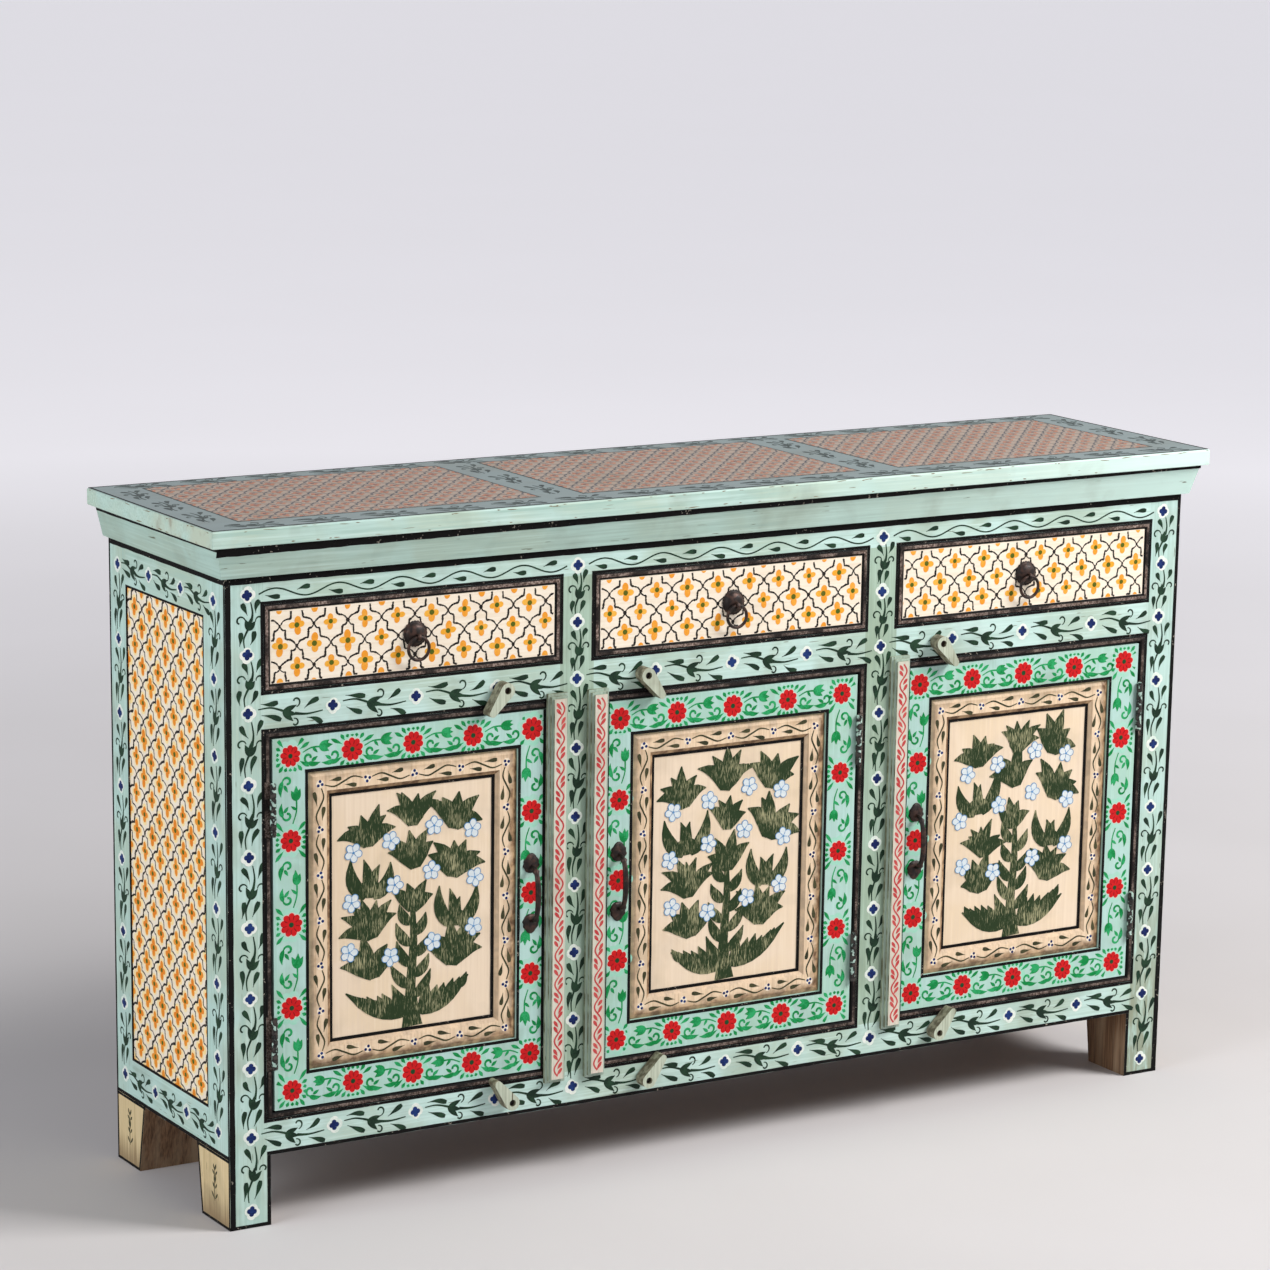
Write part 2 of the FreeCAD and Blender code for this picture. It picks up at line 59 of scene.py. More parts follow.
# Floor and light, in metres and watts
FLOOR_SIZE = 300.0
FLOOR_COLOURS = ((203, 200, 200), (212, 209, 210))
FLOOR_GLOW = (240, 239, 246)      # shown to the camera alone
FLOOR_GLOW_REACH = (1.0, 6.0)     # distances between which the glow grows
FLOOR_GLOW_FAR = 0.62             # its strength beyond them
SKY = (226, 226, 232)
SKY_LIGHT = 0.32                  # strength as light
SKY_SEEN = 0.9                    # strength as the camera and reflections see it
KEY_LAMP = dict(place=(3.1, -2.7, 3.7), aim=(0.2, 0, 0.5), size=2.2, power=306.0, colour=(1.0, 0.98, 0.96))
FILL_LAMP = dict(place=(-5.4, -0.9, 2.4), aim=(0, 0, 0.5), size=3.0, power=168.0, colour=(0.95, 0.98, 1.0))

# Paint
COAT = 0.07                       # thickness of one coat
FIELD_COAT = 0.2                  # the same where many marks overlap, on the door panels
SINK = 0.05                       # how far a mark reaches into the wood
LIFT = 0.0022                     # each mark lies this much over the one before, so that none coincide
CORNER_LINE = 8.0                 # black line on the body's left front corner
CORNER_LINES = {-1: (CORNER_LINE, CORNER_LINE), 1: (8.5, 5.0)}  # below and above, left and right
SIDE_LINE = 4.0                   # black lines on the side faces
OPENING_LINE = 4.0                # black lines outside the beads
CORNICE_LINE = 10.0               # black line under the cornice
SLAB_LINES = {"cornice_front": (13.0, 5.5), "cornice_left": (8.0, 6.0), "cornice_right": (5.0, 5.0)}
SLAB_MITRE = 1.5                  # how far the lines under the slab pass the cornice's corners
FLOOR_LINE = 5.0                  # black line along the rails' and legs' lower edges
FIELD_LINE = 4.4                  # black lines inside and outside a door's moulding, and beside its strip
PANEL_LINE = 3.2                  # black line round a side panel
TOP_EDGE_LINE = 2.8               # black line along the slab's edges
TOP_EDGE_INSET = 1.8
TOP_PANEL_LINE = 2.2              # line round each panel of the top
TOP_PANEL_GAP = 2.0
RUBBED_FOOT = 330.0               # height up to which the right front post is rubbed

# Ornament
BLUE_FLOWER = 7.0                 # radius
BLUE_HALO = 10.7
RED_FLOWER = 14.8
PALE_FLOWER = 12.5
PETALS = 9                        # of a red flower
FRONT_LATTICE = (47.0, 52.0)      # width and height of one cell
SIDE_LATTICE = (46.6, 48.8)
TOP_LATTICE = (35.0, 40.0)
LATTICE_MARGIN = 0.5              # kept free round a drawer's lattice
RAIL_VINES = 4                    # repeats between neighbouring posts or mullions
POST_VINES = 6                    # repeats beside the doors
DRAWER_VINES = 2                  # repeats beside the drawers
SIDE_POST_VINES = 7
SIDE_RAIL_VINES = 3
DOOR_VINES = 4                    # repeats along each stile and rail of a door
MOULDING_VINES = (4, 6, 4, 6)     # repeats along a moulding's top, right, foot and left
VINE_LENGTH = 86.0                # repeat for which the vine's leaves are drawn full size
TOP_VINE_LENGTH = 92.0            # usual repeat on the top
TOP_VINE_INSET = 20.0
MULLION_SPREAD = 0.72             # breadth of the vines, as a share of those on the posts
BOTTOM_SPREAD = 0.9
SIDE_SPREAD = 0.85
TOP_SPREAD = 0.8
RAIL_WAVE = 84.0                  # length of one wave of the top rail's vine
RAIL_SWING = 6.0
RAIL_STEM = 1.9
RAIL_LEAF = 20.0
RAIL_WAVE_INSET = 16.0
LEG_FLOWER_HEIGHT = 22.0
SPRIG_FOOT = 28.0                 # height of the foot of the sprig on a leg's outer face
SPRIG_TOP = 20.0                  # its distance below the leg's top
TOP_BORDER_END = 62.0
TOP_BORDER_FRONT = 54.0
TOP_BORDER_BACK = 40.0
TOP_CROSS_BAR = 66.0
MOULDING_WIDTH = 31.0
MOULDING_CREST = 16.5             # middle of the flat crest from the moulding's outer edge
STRIP_STEP = 6.0                  # inset of a strip's top step
STRIP_WAVE = 39.0                 # length of one wave of its red vine
STRIP_SWING = 5.2
STRIP_STEM = 2.2
STRIP_VINE_INSET = 4.0
BLUNT = dict(press=1.9, stop=0.87)  # leaf strokes that end broad

# Worn edges' rounding
SLAB_ROUND = 1.6
STRIP_ROUND = 0.6
LATCH_ROUND = 1.3

# Hardware
FOOT_LENGTH = 27.0                # leaf-shaped foot of a handle
FOOT_HEIGHT = 4.2
GRIP_THIN = 2.6                   # radius of the grip at its feet
GRIP_SWELL = 1.2                  # how much thicker it is in the middle
GRIP_SUNK = 1.5                   # how far its ends stand off the door, inside the feet
COLLAR = 1.768                    # how far the beads near the grip's ends stand out
PULL_PROFILE = ((16.6, -0.1), (16.6, 1.4), (15.9, 2.5), (14.6, 2.1), (13.9, 2.6), (13.0, 4.0), (11.2, 5.6),
                (8.6, 6.9), (5.0, 7.8), (1.0, 8.1))  # radii and heights of the plate and dome
RIM_NOTCHES = 24                  # milled edge of a pull's plate
RIM_INSIDE = 15.5                 # radius where it ends
EYE_PLAY = 1.6                    # between a ring's wire and the middle of its eye's wall
EYE_THICK = 1.0                   # half of the wall's thickness
EYE_WIDE = 2.3                    # half of the eye's width

hand = random.Random(11)


def wobble(amount):
    return hand.uniform(-amount, amount)


def linear(colour):
    """Shader colour from a display colour of 0 to 255."""
    shares = [value / 255.0 for value in colour]
    return (*(q / 12.92 if q <= 0.04045 else ((q + 0.055) / 1.055) ** 2.4 for q in shares), 1.0)


# The frame and the places that the paint needs

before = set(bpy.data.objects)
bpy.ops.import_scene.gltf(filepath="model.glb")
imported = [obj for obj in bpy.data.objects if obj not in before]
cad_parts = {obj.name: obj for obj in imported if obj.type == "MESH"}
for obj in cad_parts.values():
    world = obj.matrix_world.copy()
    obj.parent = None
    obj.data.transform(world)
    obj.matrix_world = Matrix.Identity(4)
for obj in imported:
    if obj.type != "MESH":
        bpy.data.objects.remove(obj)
cad_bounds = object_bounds()


def node_box(node):
    low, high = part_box(node)
    return low / MM, high / MM


def node_points(node):
    return [vertex.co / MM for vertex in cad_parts[node].data.vertices]


post_low, post_high = node_box("post_front_left")
left = post_low.x
front = post_low.y
right = node_box("post_front_right")[1].x
back = node_box("post_back_left")[1].y
rail_low, rail_high = node_box("bottom_rail")
mullion_low, mullion_high = node_box("mullions")
middle_low, middle_high = node_box("middle_rails")
leg_height = rail_low.z
door_low = rail_high.z
door_high = middle_low.z
drawer_low = middle_high.z
drawer_high = mullion_high.z
body_top = node_box("cornice_front")[0].z
slab_low, slab_high = node_box("top_board")
bay_width = mullion_low.x - rail_low.x
mullion_width = (mullion_high.x - mullion_low.x - bay_width) / 2
BAYS = (0, 1, 2)
NUMBERS = ("1", "2", "3")


# Shader building

class Shade:
    """The nodes of a material or world, with short calls for the kinds used; colours are of 0 to 255."""

    def __init__(self, name, store=bpy.data.materials):
        self.block = store.new(name)
        self.block.use_nodes = True
        self.nodes = self.block.node_tree.nodes
        self.links = self.block.node_tree.links
        self.coords = self.nodes.new("ShaderNodeTexCoord").outputs

    def feed(self, node, inputs):
        """Gives a node's inputs a number, a colour, a list or another node's output each."""
        for place, value in inputs.items():
            if isinstance(value, bpy.types.NodeSocket):
                self.links.new(value, node.inputs[place])
            else:
                node.inputs[place].default_value = linear(value) if isinstance(value, tuple) else value

    def add(self, kind, inputs, output=0, **settings):
        """One output of a new node."""
        node = self.nodes.new("ShaderNode" + kind)
        for setting, value in settings.items():
            setattr(node, setting, value)
        self.feed(node, inputs)
        return node.outputs[output]

    def noise(self, grains, detail=4.0, distortion=0.0):
        """Noise of so many grains per metre, alike in all directions or listed along x, y and z."""
        scale = [grains] * 3 if isinstance(grains, float) else grains
        place = self.add("Mapping", {"Vector": self.coords["Object"], "Scale": scale})
        inputs = {"Vector": place, "Scale": 1.0, "Detail": detail, "Distortion": distortion}
        return self.add("TexNoise", inputs)

    def part(self, output, axis):
        """One part of the object's own coordinates or normal."""
        return self.add("SeparateXYZ", {0: self.coords[output]}, axis)

    def ramp(self, value, low, high, to_low=0.0, to_high=1.0):
        limits = {"From Min": low, "From Max": high, "To Min": to_low, "To Max": to_high}
        return self.add("MapRange", {"Value": value, **limits})

    def patches(self, grains, low, high, to_low=0.0, to_high=1.0, detail=4.0, distortion=0.0):
        """Ramp between two levels of a noise."""
        return self.ramp(self.noise(grains, detail, distortion), low, high, to_low, to_high)

    def forth(self, *limits):
        """Ramp over how far a face looks forwards or backwards."""
        return self.ramp(self.maths("ABSOLUTE", self.part("Normal", 1), 0.0), *limits)

    def maths(self, operation, first, second):
        return self.add("Math", {0: first, 1: second}, operation=operation)

    def both(self, first, second):
        return self.maths("MULTIPLY", first, second)

    def mix(self, share, first, second):
        return self.add("Mix", {0: share, 6: first, 7: second}, 2, data_type="RGBA")

    def finish(self, colour, rough, grain, depth, metal=0.0, gloss=0.25):
        """Sends colour, a roughness range over a grain, and bump of so many millimetres to the shader."""
        bump = self.add("Bump", {"Strength": 1.0, "Distance": depth * MM, "Height": grain})
        inputs = {"Base Color": colour, "Roughness": self.ramp(grain, 0.3, 0.7, *rough), "Metallic": metal,
                  "Specular IOR Level": gloss, "Normal": bump}
        self.feed(self.nodes["Principled BSDF"], inputs)
        return self.block


# Grains per metre along x, y and z of brushed paint and wood
ALONG_X = [9.0, 330.0, 330.0]
ALONG_Y = [330.0, 9.0, 330.0]
ALONG_Z = [330.0, 330.0, 9.0]

BARE_DARK = (72, 51, 37)
BARE_LIGHT = (142, 110, 82)
BARE_PALE = (172, 148, 120)
GRIME = (112, 104, 82)
FOOT_GRIME = (142, 146, 122)


def wood_colour(shade, direction):
    """Brown wood with long grain along one direction and pale weathered streaks, and its fibres."""
    rings = shade.noise([value * 0.22 for value in direction], 3.0, 1.2)
    fibre = shade.noise([value * 1.6 for value in direction], 3.0)
    tone = shade.maths("ADD", shade.both(rings, 0.7), shade.ramp(fibre, 0.3, 0.7, -0.3, 0.3))
    wood = shade.mix(shade.ramp(tone, -0.05, 0.6), BARE_DARK, BARE_LIGHT)
    streak = [max(value * 0.12, 5.0) for value in direction]
    return shade.mix(shade.patches(streak, 0.46, 0.66, 0.0, 0.75, 6.0, 0.3), wood, BARE_PALE), fibre


def bare_wood(name, direction):
    shade = Shade(name)
    colour, fibre = wood_colour(shade, direction)
    stain = shade.patches(7.0, 0.5, 0.75, 0.0, 0.45)
    return shade.finish(shade.mix(stain, colour, BARE_DARK), (0.55, 0.8), fibre, 0.25)


def brushed(shade, direction, dark, colour, light, grime=0.3, tint=None, speck=None, speck_share=0.03,
            lit_right_end=None, foot=None):
    """Hand-brushed paint: streaks, cloudy grime and, if asked for, a second tint, chipped specks, a paler
    colour towards the right end that is painted light, and rubbed grime below the height of the foot."""
    streak = shade.noise(direction, 5.0)
    if tint:
        colour = shade.mix(shade.patches(9.0, 0.42, 0.6, detail=3.0, distortion=0.6), colour, tint)
    paint = shade.mix(shade.ramp(streak, 0.28, 0.5), dark, colour)
    paint = shade.mix(shade.ramp(streak, 0.52, 0.75, 0.0, 0.8), paint, light)
    # Painted light: the paint turns paler towards the right end, where the light falls stronger
    if lit_right_end:
        paint = shade.mix(shade.ramp(shade.part("Object", 0), 0.0, right * MM, 0.0, 0.75), paint, lit_right_end)
    paint = shade.mix(shade.patches(13.0, 0.52, 0.76, 0.0, grime, 6.0, 0.4), paint, GRIME)
    if foot:
        rubbed = shade.patches([170.0, 170.0, 30.0], 0.38, 0.58, 0.1, 0.85, 5.0)
        low = shade.ramp(shade.part("Object", 2), foot * MM, 0.3 * foot * MM)
        paint = shade.mix(shade.both(rubbed, low), paint, FOOT_GRIME)
    if speck:
        chips = shade.noise([min(value, 120.0) * 3.0 for value in direction], 2.0)
        paint = shade.mix(shade.ramp(chips, 0.74 - speck_share, 0.77 - speck_share), paint, speck)
    return paint, streak


def painted(name, direction, colours, outward=(), depth=None, **more):
    """Brushed paint. Where outward names axes and signs, the faces that look elsewhere are bare wood, and so
    is what lies further back than the depth."""
    shade = Shade(name)
    paint, streak = brushed(shade, direction, *colours, **more)
    facing = None
    for axis, sign in outward:
        look = shade.ramp(shade.part("Normal", axis), 0.4 * sign, 0.6 * sign)
        facing = look if facing is None else shade.maths("MAXIMUM", facing, look)
    if depth is not None:
        facing = shade.both(facing, shade.ramp(shade.part("Object", 1), depth * MM, depth * MM - MM))
    if facing is not None:
        paint = shade.mix(facing, wood_colour(shade, direction)[0], paint)
    return shade.finish(paint, (0.45, 0.65), streak, 0.12)


def slab():
    """Top board: grey-green above as a painted shade, paler mint on its edges, soiled at its left end."""
    shade = Shade("slab")
    # The edges turn paler towards the right end: painted light
    edge, streak = brushed(shade, ALONG_X, (168, 200, 189), (188, 217, 208), (208, 232, 225),
                           tint=(186, 208, 192), speck=(132, 134, 112), lit_right_end=(220, 244, 236))
    # Painted shade: the top face gets a darker grey than the mint of the edges, for how it looks under the
    # light
    shaded_top = brushed(shade, ALONG_X, (112, 126, 126), (130, 144, 144), (147, 160, 160))[0]
    soil = shade.mix(shade.patches(38.0, 0.5, 0.66, detail=5.0), (190, 203, 184), (150, 132, 108))
    darkened = shade.both(shade.ramp(shade.part("Normal", 0), -0.5, -0.9), shade.patches(24.0, 0.36, 0.56))
    darkened = shade.both(darkened, shade.ramp(shade.part("Object", 1), 0.06, -0.12, 0.15, 1.0))
    up = shade.ramp(shade.part("Normal", 2), 0.75, 0.95)
    return shade.finish(shade.mix(up, shade.mix(darkened, edge, soil), shaded_top), (0.4, 0.56), streak, 0.1)


def worn_bead():
    """Black lining bead rubbed to brown along its crest, more round the drawers than round the doors."""
    shade = Shade("worn_bead")
    high = shade.ramp(shade.part("Object", 2), 0.64, 0.68, 0.62, 1.0)
    rub = shade.patches(40.0, 0.38, 0.58, 0.1, 1.0, 5.0)
    scratch = shade.noise(420.0, 3.0)
    brown = shade.mix(shade.ramp(scratch, 0.42, 0.66), (84, 68, 60), (166, 148, 138))
    worn = shade.both(shade.both(shade.forth(0.965, 0.99), high), rub)
    return shade.finish(shade.mix(worn, (15, 13, 13), brown), (0.5, 0.7), scratch, 0.08, gloss=0.12)


def cream_moulding(node):
    """Cream moulding, brown slopes as painted shade, darker along the outer edge, most at the right and
    below.
    """
    shade = Shade(node + "_cream")
    paint, streak = brushed(shade, ALONG_Z, (210, 182, 150), (232, 206, 174), (242, 220, 192), 0.4)
    # Painted shade: slopes that face right or down get the full brown, those that face left or up less
    right_down_facing = shade.maths("SUBTRACT", shade.part("Normal", 0), shade.part("Normal", 2))
    darkened = shade.both(shade.forth(0.86, 0.985, 1.0, 0.0), shade.ramp(right_down_facing, -0.25, 0.2, 0.4, 1.0))
    low, high = node_box(node)
    uneven = shade.patches(60.0, 0.3, 0.7, -4 * MM, 4 * MM)
    # Darker brown along the outer edge, strongest at the right and below
    edges = ((0, high.x, -1, 1.0), (2, low.z, 1, 0.9), (0, low.x, 1, 0.55), (2, high.z, -1, 0.45))
    for axis, edge, inward, most in edges:
        place = shade.maths("ADD", shade.part("Object", axis), uneven)
        near = shade.ramp(place, (edge + 16 * inward) * MM, (edge + 7 * inward) * MM, 0.0, most)
        darkened = shade.maths("MAXIMUM", darkened, near)
    brown_tone = shade.mix(shade.patches(90.0, 0.4, 0.62), (108, 80, 56), (182, 150, 114))
    return shade.finish(shade.mix(darkened, paint, brown_tone), (0.4, 0.6), streak, 0.1)


def brown_sided(name, colours, dark_side, light_side, grains):
    """Paint that turns darker brown on the faces that look sideways: the sides, steps and rounded edges."""
    shade = Shade(name)
    paint, streak = brushed(shade, ALONG_Z, *colours, grime=0.6, speck=(92, 86, 64), speck_share=0.05)
    brown_tone = shade.mix(shade.patches(grains, 0.42, 0.6), dark_side, light_side)
    return shade.finish(shade.mix(shade.forth(0.3, 0.9), brown_tone, paint), (0.45, 0.65), streak, 0.15)


def brush_paint(name, colour, second, patch, share=0.6):
    """Ornament paint that thins and thickens from stroke to stroke."""
    shade = Shade(name)
    fine = shade.noise(500.0, 2.0)
    tone = shade.maths("ADD", shade.noise(patch, 3.0), shade.ramp(fine, 0.3, 0.7, -0.12, 0.12))
    colour = shade.mix(shade.ramp(tone, 0.4, 0.64, 0.0, share), colour, second)
    return shade.finish(colour, (0.45, 0.62), fine, 0.04, gloss=0.16)


def dry_brush(name, colour, ground):
    """Paint dragged nearly dry over the grain, so that the ground shows through in streaks."""
    shade = Shade(name)
    streak = shade.noise([1200.0, 1200.0, 120.0])
    tone = shade.maths("ADD", streak, shade.patches(26.0, 0.35, 0.7, -0.1, 0.1, 3.0))
    colour = shade.mix(shade.ramp(tone, 0.53, 0.66, 0.0, 0.85), colour, ground)
    return shade.finish(colour, (0.5, 0.65), streak, 0.05, gloss=0.14)


def worn_line(name, colour, chip):
    """Black line with scratches and pale chips."""
    shade = Shade(name)
    chips = shade.noise(300.0, 3.0)
    level = shade.maths("ADD", chips, shade.patches(24.0, 0.5, 0.62, 0.0, 0.1, 3.0))
    colour = shade.mix(shade.ramp(level, 0.72, 0.77), colour, chip)
    return shade.finish(colour, (0.5, 0.7), chips, 0.05, gloss=0.1)


def dirty_cream(name):
    """Cream of the legs' outer faces, brown towards the floor."""
    shade = Shade(name)
    paint, streak = brushed(shade, ALONG_Z, (194, 172, 128), (216, 194, 150), (226, 207, 168), 0.5,
                            speck=(120, 98, 70))
    height = shade.maths("ADD", shade.part("Object", 2), shade.ramp(streak, 0.3, 0.7, -0.012, 0.012))
    foot = shade.ramp(height, 0.008, 0.042, 0.75, 0.0)
    return shade.finish(shade.mix(foot, paint, (128, 104, 76)), (0.5, 0.7), streak, 0.15)


def iron(name, dark, light):
    shade = Shade(name)
    colour = shade.mix(shade.patches(120.0, 0.45, 0.68, detail=6.0, distortion=0.5), dark, light)
    return shade.finish(colour, (0.36, 0.6), shade.noise(900.0, 3.0), 0.12, metal=0.5, gloss=0.5)


def hinge_iron(name):
    """Black iron, once painted over with mint that is now mostly rubbed off."""
    shade = Shade(name)
    rub = shade.noise(160.0, 5.0)
    paint = shade.mix(shade.patches(60.0, 0.4, 0.6, detail=3.0), (166, 194, 182), (186, 210, 199))
    black = shade.mix(shade.ramp(rub, 0.5, 0.66), (18, 16, 16), (70, 64, 60))
    colour = shade.mix(shade.ramp(rub, 0.46, 0.41), black, paint)
    return shade.finish(colour, (0.42, 0.6), rub, 0.1, gloss=0.3)


# Dark, usual and light streaks of the brushed paints and their wear; the mullions' mint is painted shade
MINT = ((168, 198, 187), (185, 215, 207), (200, 226, 219))
MINT_WEAR = dict(tint=(178, 200, 184), speck=(120, 130, 112))
RAIL_MINT = ((178, 207, 197), (196, 225, 218), (208, 233, 226))
# Painted shade: the mullions' mint is darker and greener, for the half-shade between the cover strips
SHADED_MULLION_MINT = ((152, 175, 156), (168, 193, 175), (184, 207, 190))
CORNICE = ((158, 184, 173), (173, 201, 191), (190, 215, 206))
# The cornice's tint and specks are wear; its paler right end is painted light
CORNICE_WEAR_AND_LIGHT = dict(tint=(170, 192, 178), speck=(104, 110, 92), lit_right_end=(206, 234, 226))
IVORY = ((238, 222, 198), (245, 232, 212), (250, 240, 224))
DOOR_GROUND = ((170, 205, 195), (178, 212, 205), (185, 217, 210))
FIELD_CREAM = ((229, 208, 182), (235, 215, 190), (240, 221, 197))
LATCH = ((150, 154, 132), (186, 195, 175), (210, 215, 197))
STRIP = ((140, 158, 143), (166, 186, 171), (188, 204, 189))
STRIP_BAND = ((192, 192, 174), (208, 206, 190), (220, 214, 199))
TOP_GROUND = ((154, 138, 125), (168, 151, 137), (181, 164, 151))

# Axes and signs of the ways that faces look
FORTH, LEFTWARDS, RIGHTWARDS, UPWARDS, DOWNWARDS = (1, -1), (0, -1), (0, 1), (2, 1), (2, -1)
ALL_WAYS = (FORTH, LEFTWARDS, RIGHTWARDS, UPWARDS, DOWNWARDS)

cast_iron = iron("cast_iron", (32, 25, 23), (76, 52, 43))
hinge_metal = hinge_iron("hinge_iron")
latch_paint = brown_sided("latch_paint", LATCH, (96, 90, 72), (148, 144, 122), 130.0)

# Each material with its nodes; a # stands for the numbers of the bays
dressed = (
    (slab(), "top_board"),
    (painted("cornice_x", ALONG_X, CORNICE, **CORNICE_WEAR_AND_LIGHT), "cornice_front"),
    (painted("cornice_y", ALONG_Y, CORNICE, **CORNICE_WEAR_AND_LIGHT), "cornice_left", "cornice_right"),
    (worn_bead(), "opening_beads"),
    (painted("mint_level", ALONG_X, RAIL_MINT, (FORTH,), **MINT_WEAR),
     "top_rail", "middle_rails", "bottom_rail"),
    # The mullions get the darker mint, a painted shade
    (painted("shaded_mint_upright", ALONG_Z, SHADED_MULLION_MINT, (FORTH,), tint=(158, 180, 158)), "mullions"),
    (painted("post_left", ALONG_Z, MINT, (FORTH, LEFTWARDS), **MINT_WEAR), "post_front_left"),
    (painted("post_right", ALONG_Z, MINT, (FORTH, RIGHTWARDS), foot=RUBBED_FOOT, **MINT_WEAR),
     "post_front_right"),
    (painted("back_post_left", ALONG_Z, MINT, (LEFTWARDS,), **MINT_WEAR), "post_back_left"),
    (painted("back_post_right", ALONG_Z, MINT, (RIGHTWARDS,), **MINT_WEAR), "post_back_right"),
    (painted("side_rail_left", ALONG_Y, MINT, (LEFTWARDS,), **MINT_WEAR), "side_rails_left"),
    (painted("side_rail_right", ALONG_Y, MINT, (RIGHTWARDS,), **MINT_WEAR), "side_rails_right"),
    (painted("ivory_upright", ALONG_Z, IVORY, grime=0.1), "side_panel_left", "side_panel_right"),
    (bare_wood("upright_wood", ALONG_Z), "back_panel", "partitions"),
    (bare_wood("level_wood", ALONG_X), "bottom_board", "drawer_deck", "drawer_runners"),
    (hinge_metal, "hinge_frame_leaves", "door_#_hinge_leaves"),
    (cast_iron, "latch_screws", "door_#_handle", "drawer_#_pull", "drawer_#_ring"),
    (latch_paint, "latch_top_#", "latch_bottom_#"),
    (painted("door_ground", ALONG_Z, DOOR_GROUND, ALL_WAYS, front + 10, tint=(168, 206, 188)),
     "door_#_frame"),
    (painted("field_cream", ALONG_Z, FIELD_CREAM, (FORTH,), grime=0.2, tint=(231, 209, 178)),
     "door_#_panel"),
    (brown_sided("stepped_strip", STRIP, (104, 106, 84), (154, 166, 144), 50.0), "door_#_cover_strip"),
    (painted("ivory", ALONG_X, IVORY, grime=0.1), "drawer_#_front"),
    (bare_wood("drawer_wood", ALONG_Y), "drawer_#_box"),
)
materials = {}
for number in NUMBERS:
    for material, *nodes in dressed:
        for node in nodes:
            materials[node.replace("#", number)] = material
    moulding = "door_" + number + "_moulding"
    materials[moulding] = cream_moulding(moulding)
for node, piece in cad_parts.items():
    piece.data.materials.clear()
    piece.data.materials.append(materials[node])

# Ornament paints: colour, second colour, patches per metre and, where it is not usual, the second's share
BRUSH_PAINTS = {
    "vine_green": ((22, 43, 31), (44, 76, 53), 60.0),
    "navy": ((15, 30, 82), (34, 66, 130), 60.0),
    "white": ((234, 238, 230), (208, 224, 214), 90.0, 0.9),
    "faint_white": ((238, 222, 198), (240, 232, 216), 60.0),
    "dark_red": ((128, 10, 16), (156, 16, 20), 80.0),
    "red": ((206, 22, 26), (180, 16, 22), 80.0),
    "pink_halo": ((216, 200, 188), (190, 214, 200), 80.0),
    "leaf_green": ((6, 128, 62), (48, 168, 104), 70.0, 0.85),
    "mint_halo": ((156, 214, 190), (170, 212, 198), 40.0, 1.0),
    "dark_green": ((22, 58, 30), (36, 78, 42), 80.0),
    "olive": ((50, 52, 34), (84, 82, 54), 60.0),
    "pale_blue": ((224, 229, 228), (204, 219, 228), 60.0),
    "blue_line": ((84, 138, 188), (128, 172, 208), 60.0),
    "petal_wash": ((252, 224, 160), (250, 230, 186), 34.0),
    "amber": ((238, 166, 48), (246, 190, 84), 34.0),
    "orange": ((232, 132, 32), (240, 162, 52), 34.0),
    "light_orange": ((236, 152, 44), (244, 178, 76), 50.0),
    "centre_green": ((74, 96, 22), (104, 98, 26), 60.0),
    "lattice": ((22, 19, 18), (62, 54, 48), 60.0),
    "strip_red": ((184, 58, 61), (206, 100, 95), 50.0),
    "top_red": ((170, 112, 88), (184, 140, 118), 40.0),
    "top_grey": ((72, 78, 86), (104, 106, 108), 40.0),
    "top_leaf": ((50, 60, 58), (74, 86, 82), 40.0),
    "chip": ((122, 112, 88), (150, 146, 122), 60.0),
}
paints = {name: brush_paint(name, *looks) for name, looks in BRUSH_PAINTS.items()}
paints["black"] = worn_line("black_line", (14, 13, 13), (150, 142, 130))
paints["plant_green"] = dry_brush("plant_green", (39, 56, 31), (172, 168, 130))
paints["strip_band"] = painted("strip_band", ALONG_Z, STRIP_BAND, tint=(216, 202, 186))
paints["top_ground"] = painted("top_ground", ALONG_X, TOP_GROUND)
paints["leg_cream"] = dirty_cream("leg_cream")


# Points and areas; an area is (low u, low v, high u, high v)

def shares(steps):
    """Even shares from 0 to 1."""
    return [step / steps for step in range(steps + 1)]


def turns(count):
    """Even angles once round."""
    return [2 * math.pi * step / count for step in range(count)]


def shifted(place, angle, along, aside=0.0):
    """Point so far along and aside from a place when facing an angle."""
    return (place[0] + along * math.cos(angle) - aside * math.sin(angle),
            place[1] + along * math.sin(angle) + aside * math.cos(angle))


def stretches(start, end, count):
    """Starts and ends of equal stretches from one point to another."""
    step = ((end[0] - start[0]) / count, (end[1] - start[1]) / count)
    for index in range(count):
        place = (start[0] + index * step[0], start[1] + index * step[1])
        yield place, (place[0] + step[0], place[1] + step[1])


def front_area(low, high):
    return low.x, low.z, high.x, high.z


def grown(area, by):
    u0, v0, u1, v1 = area
    return u0 - by, v0 - by, u1 + by, v1 + by


def corners(area):
    u0, v0, u1, v1 = area
    return [(u0, v0), (u1, v0), (u1, v1), (u0, v1)]


def smooth(points, steps=4):
    """Smooth curve through the points."""
    ends = [points[0]] + list(points) + [points[-1]]
    path = []
    for a, b, c, d in zip(ends, ends[1:], ends[2:], ends[3:]):
        for step in range(steps):
            q = step / steps
            path.append(tuple(
                b[k] + 0.5 * q * (c[k] - a[k] + q * (2 * a[k] - 5 * b[k] + 4 * c[k] - d[k]
                                                   + q * (3 * b[k] - a[k] - 3 * c[k] + d[k])))
                for k in (0, 1)))
    path.append(points[-1])
    return path


def rosette(place, lobes, outer, inner, spin=0.0):
    """Outline with so many round lobes."""
    points = []
    for angle in turns(lobes * 8):
        reach = inner + (outer - inner) * abs(math.cos(lobes * angle / 2)) ** 0.8
        points.append(shifted(place, angle + spin, reach))
    return points


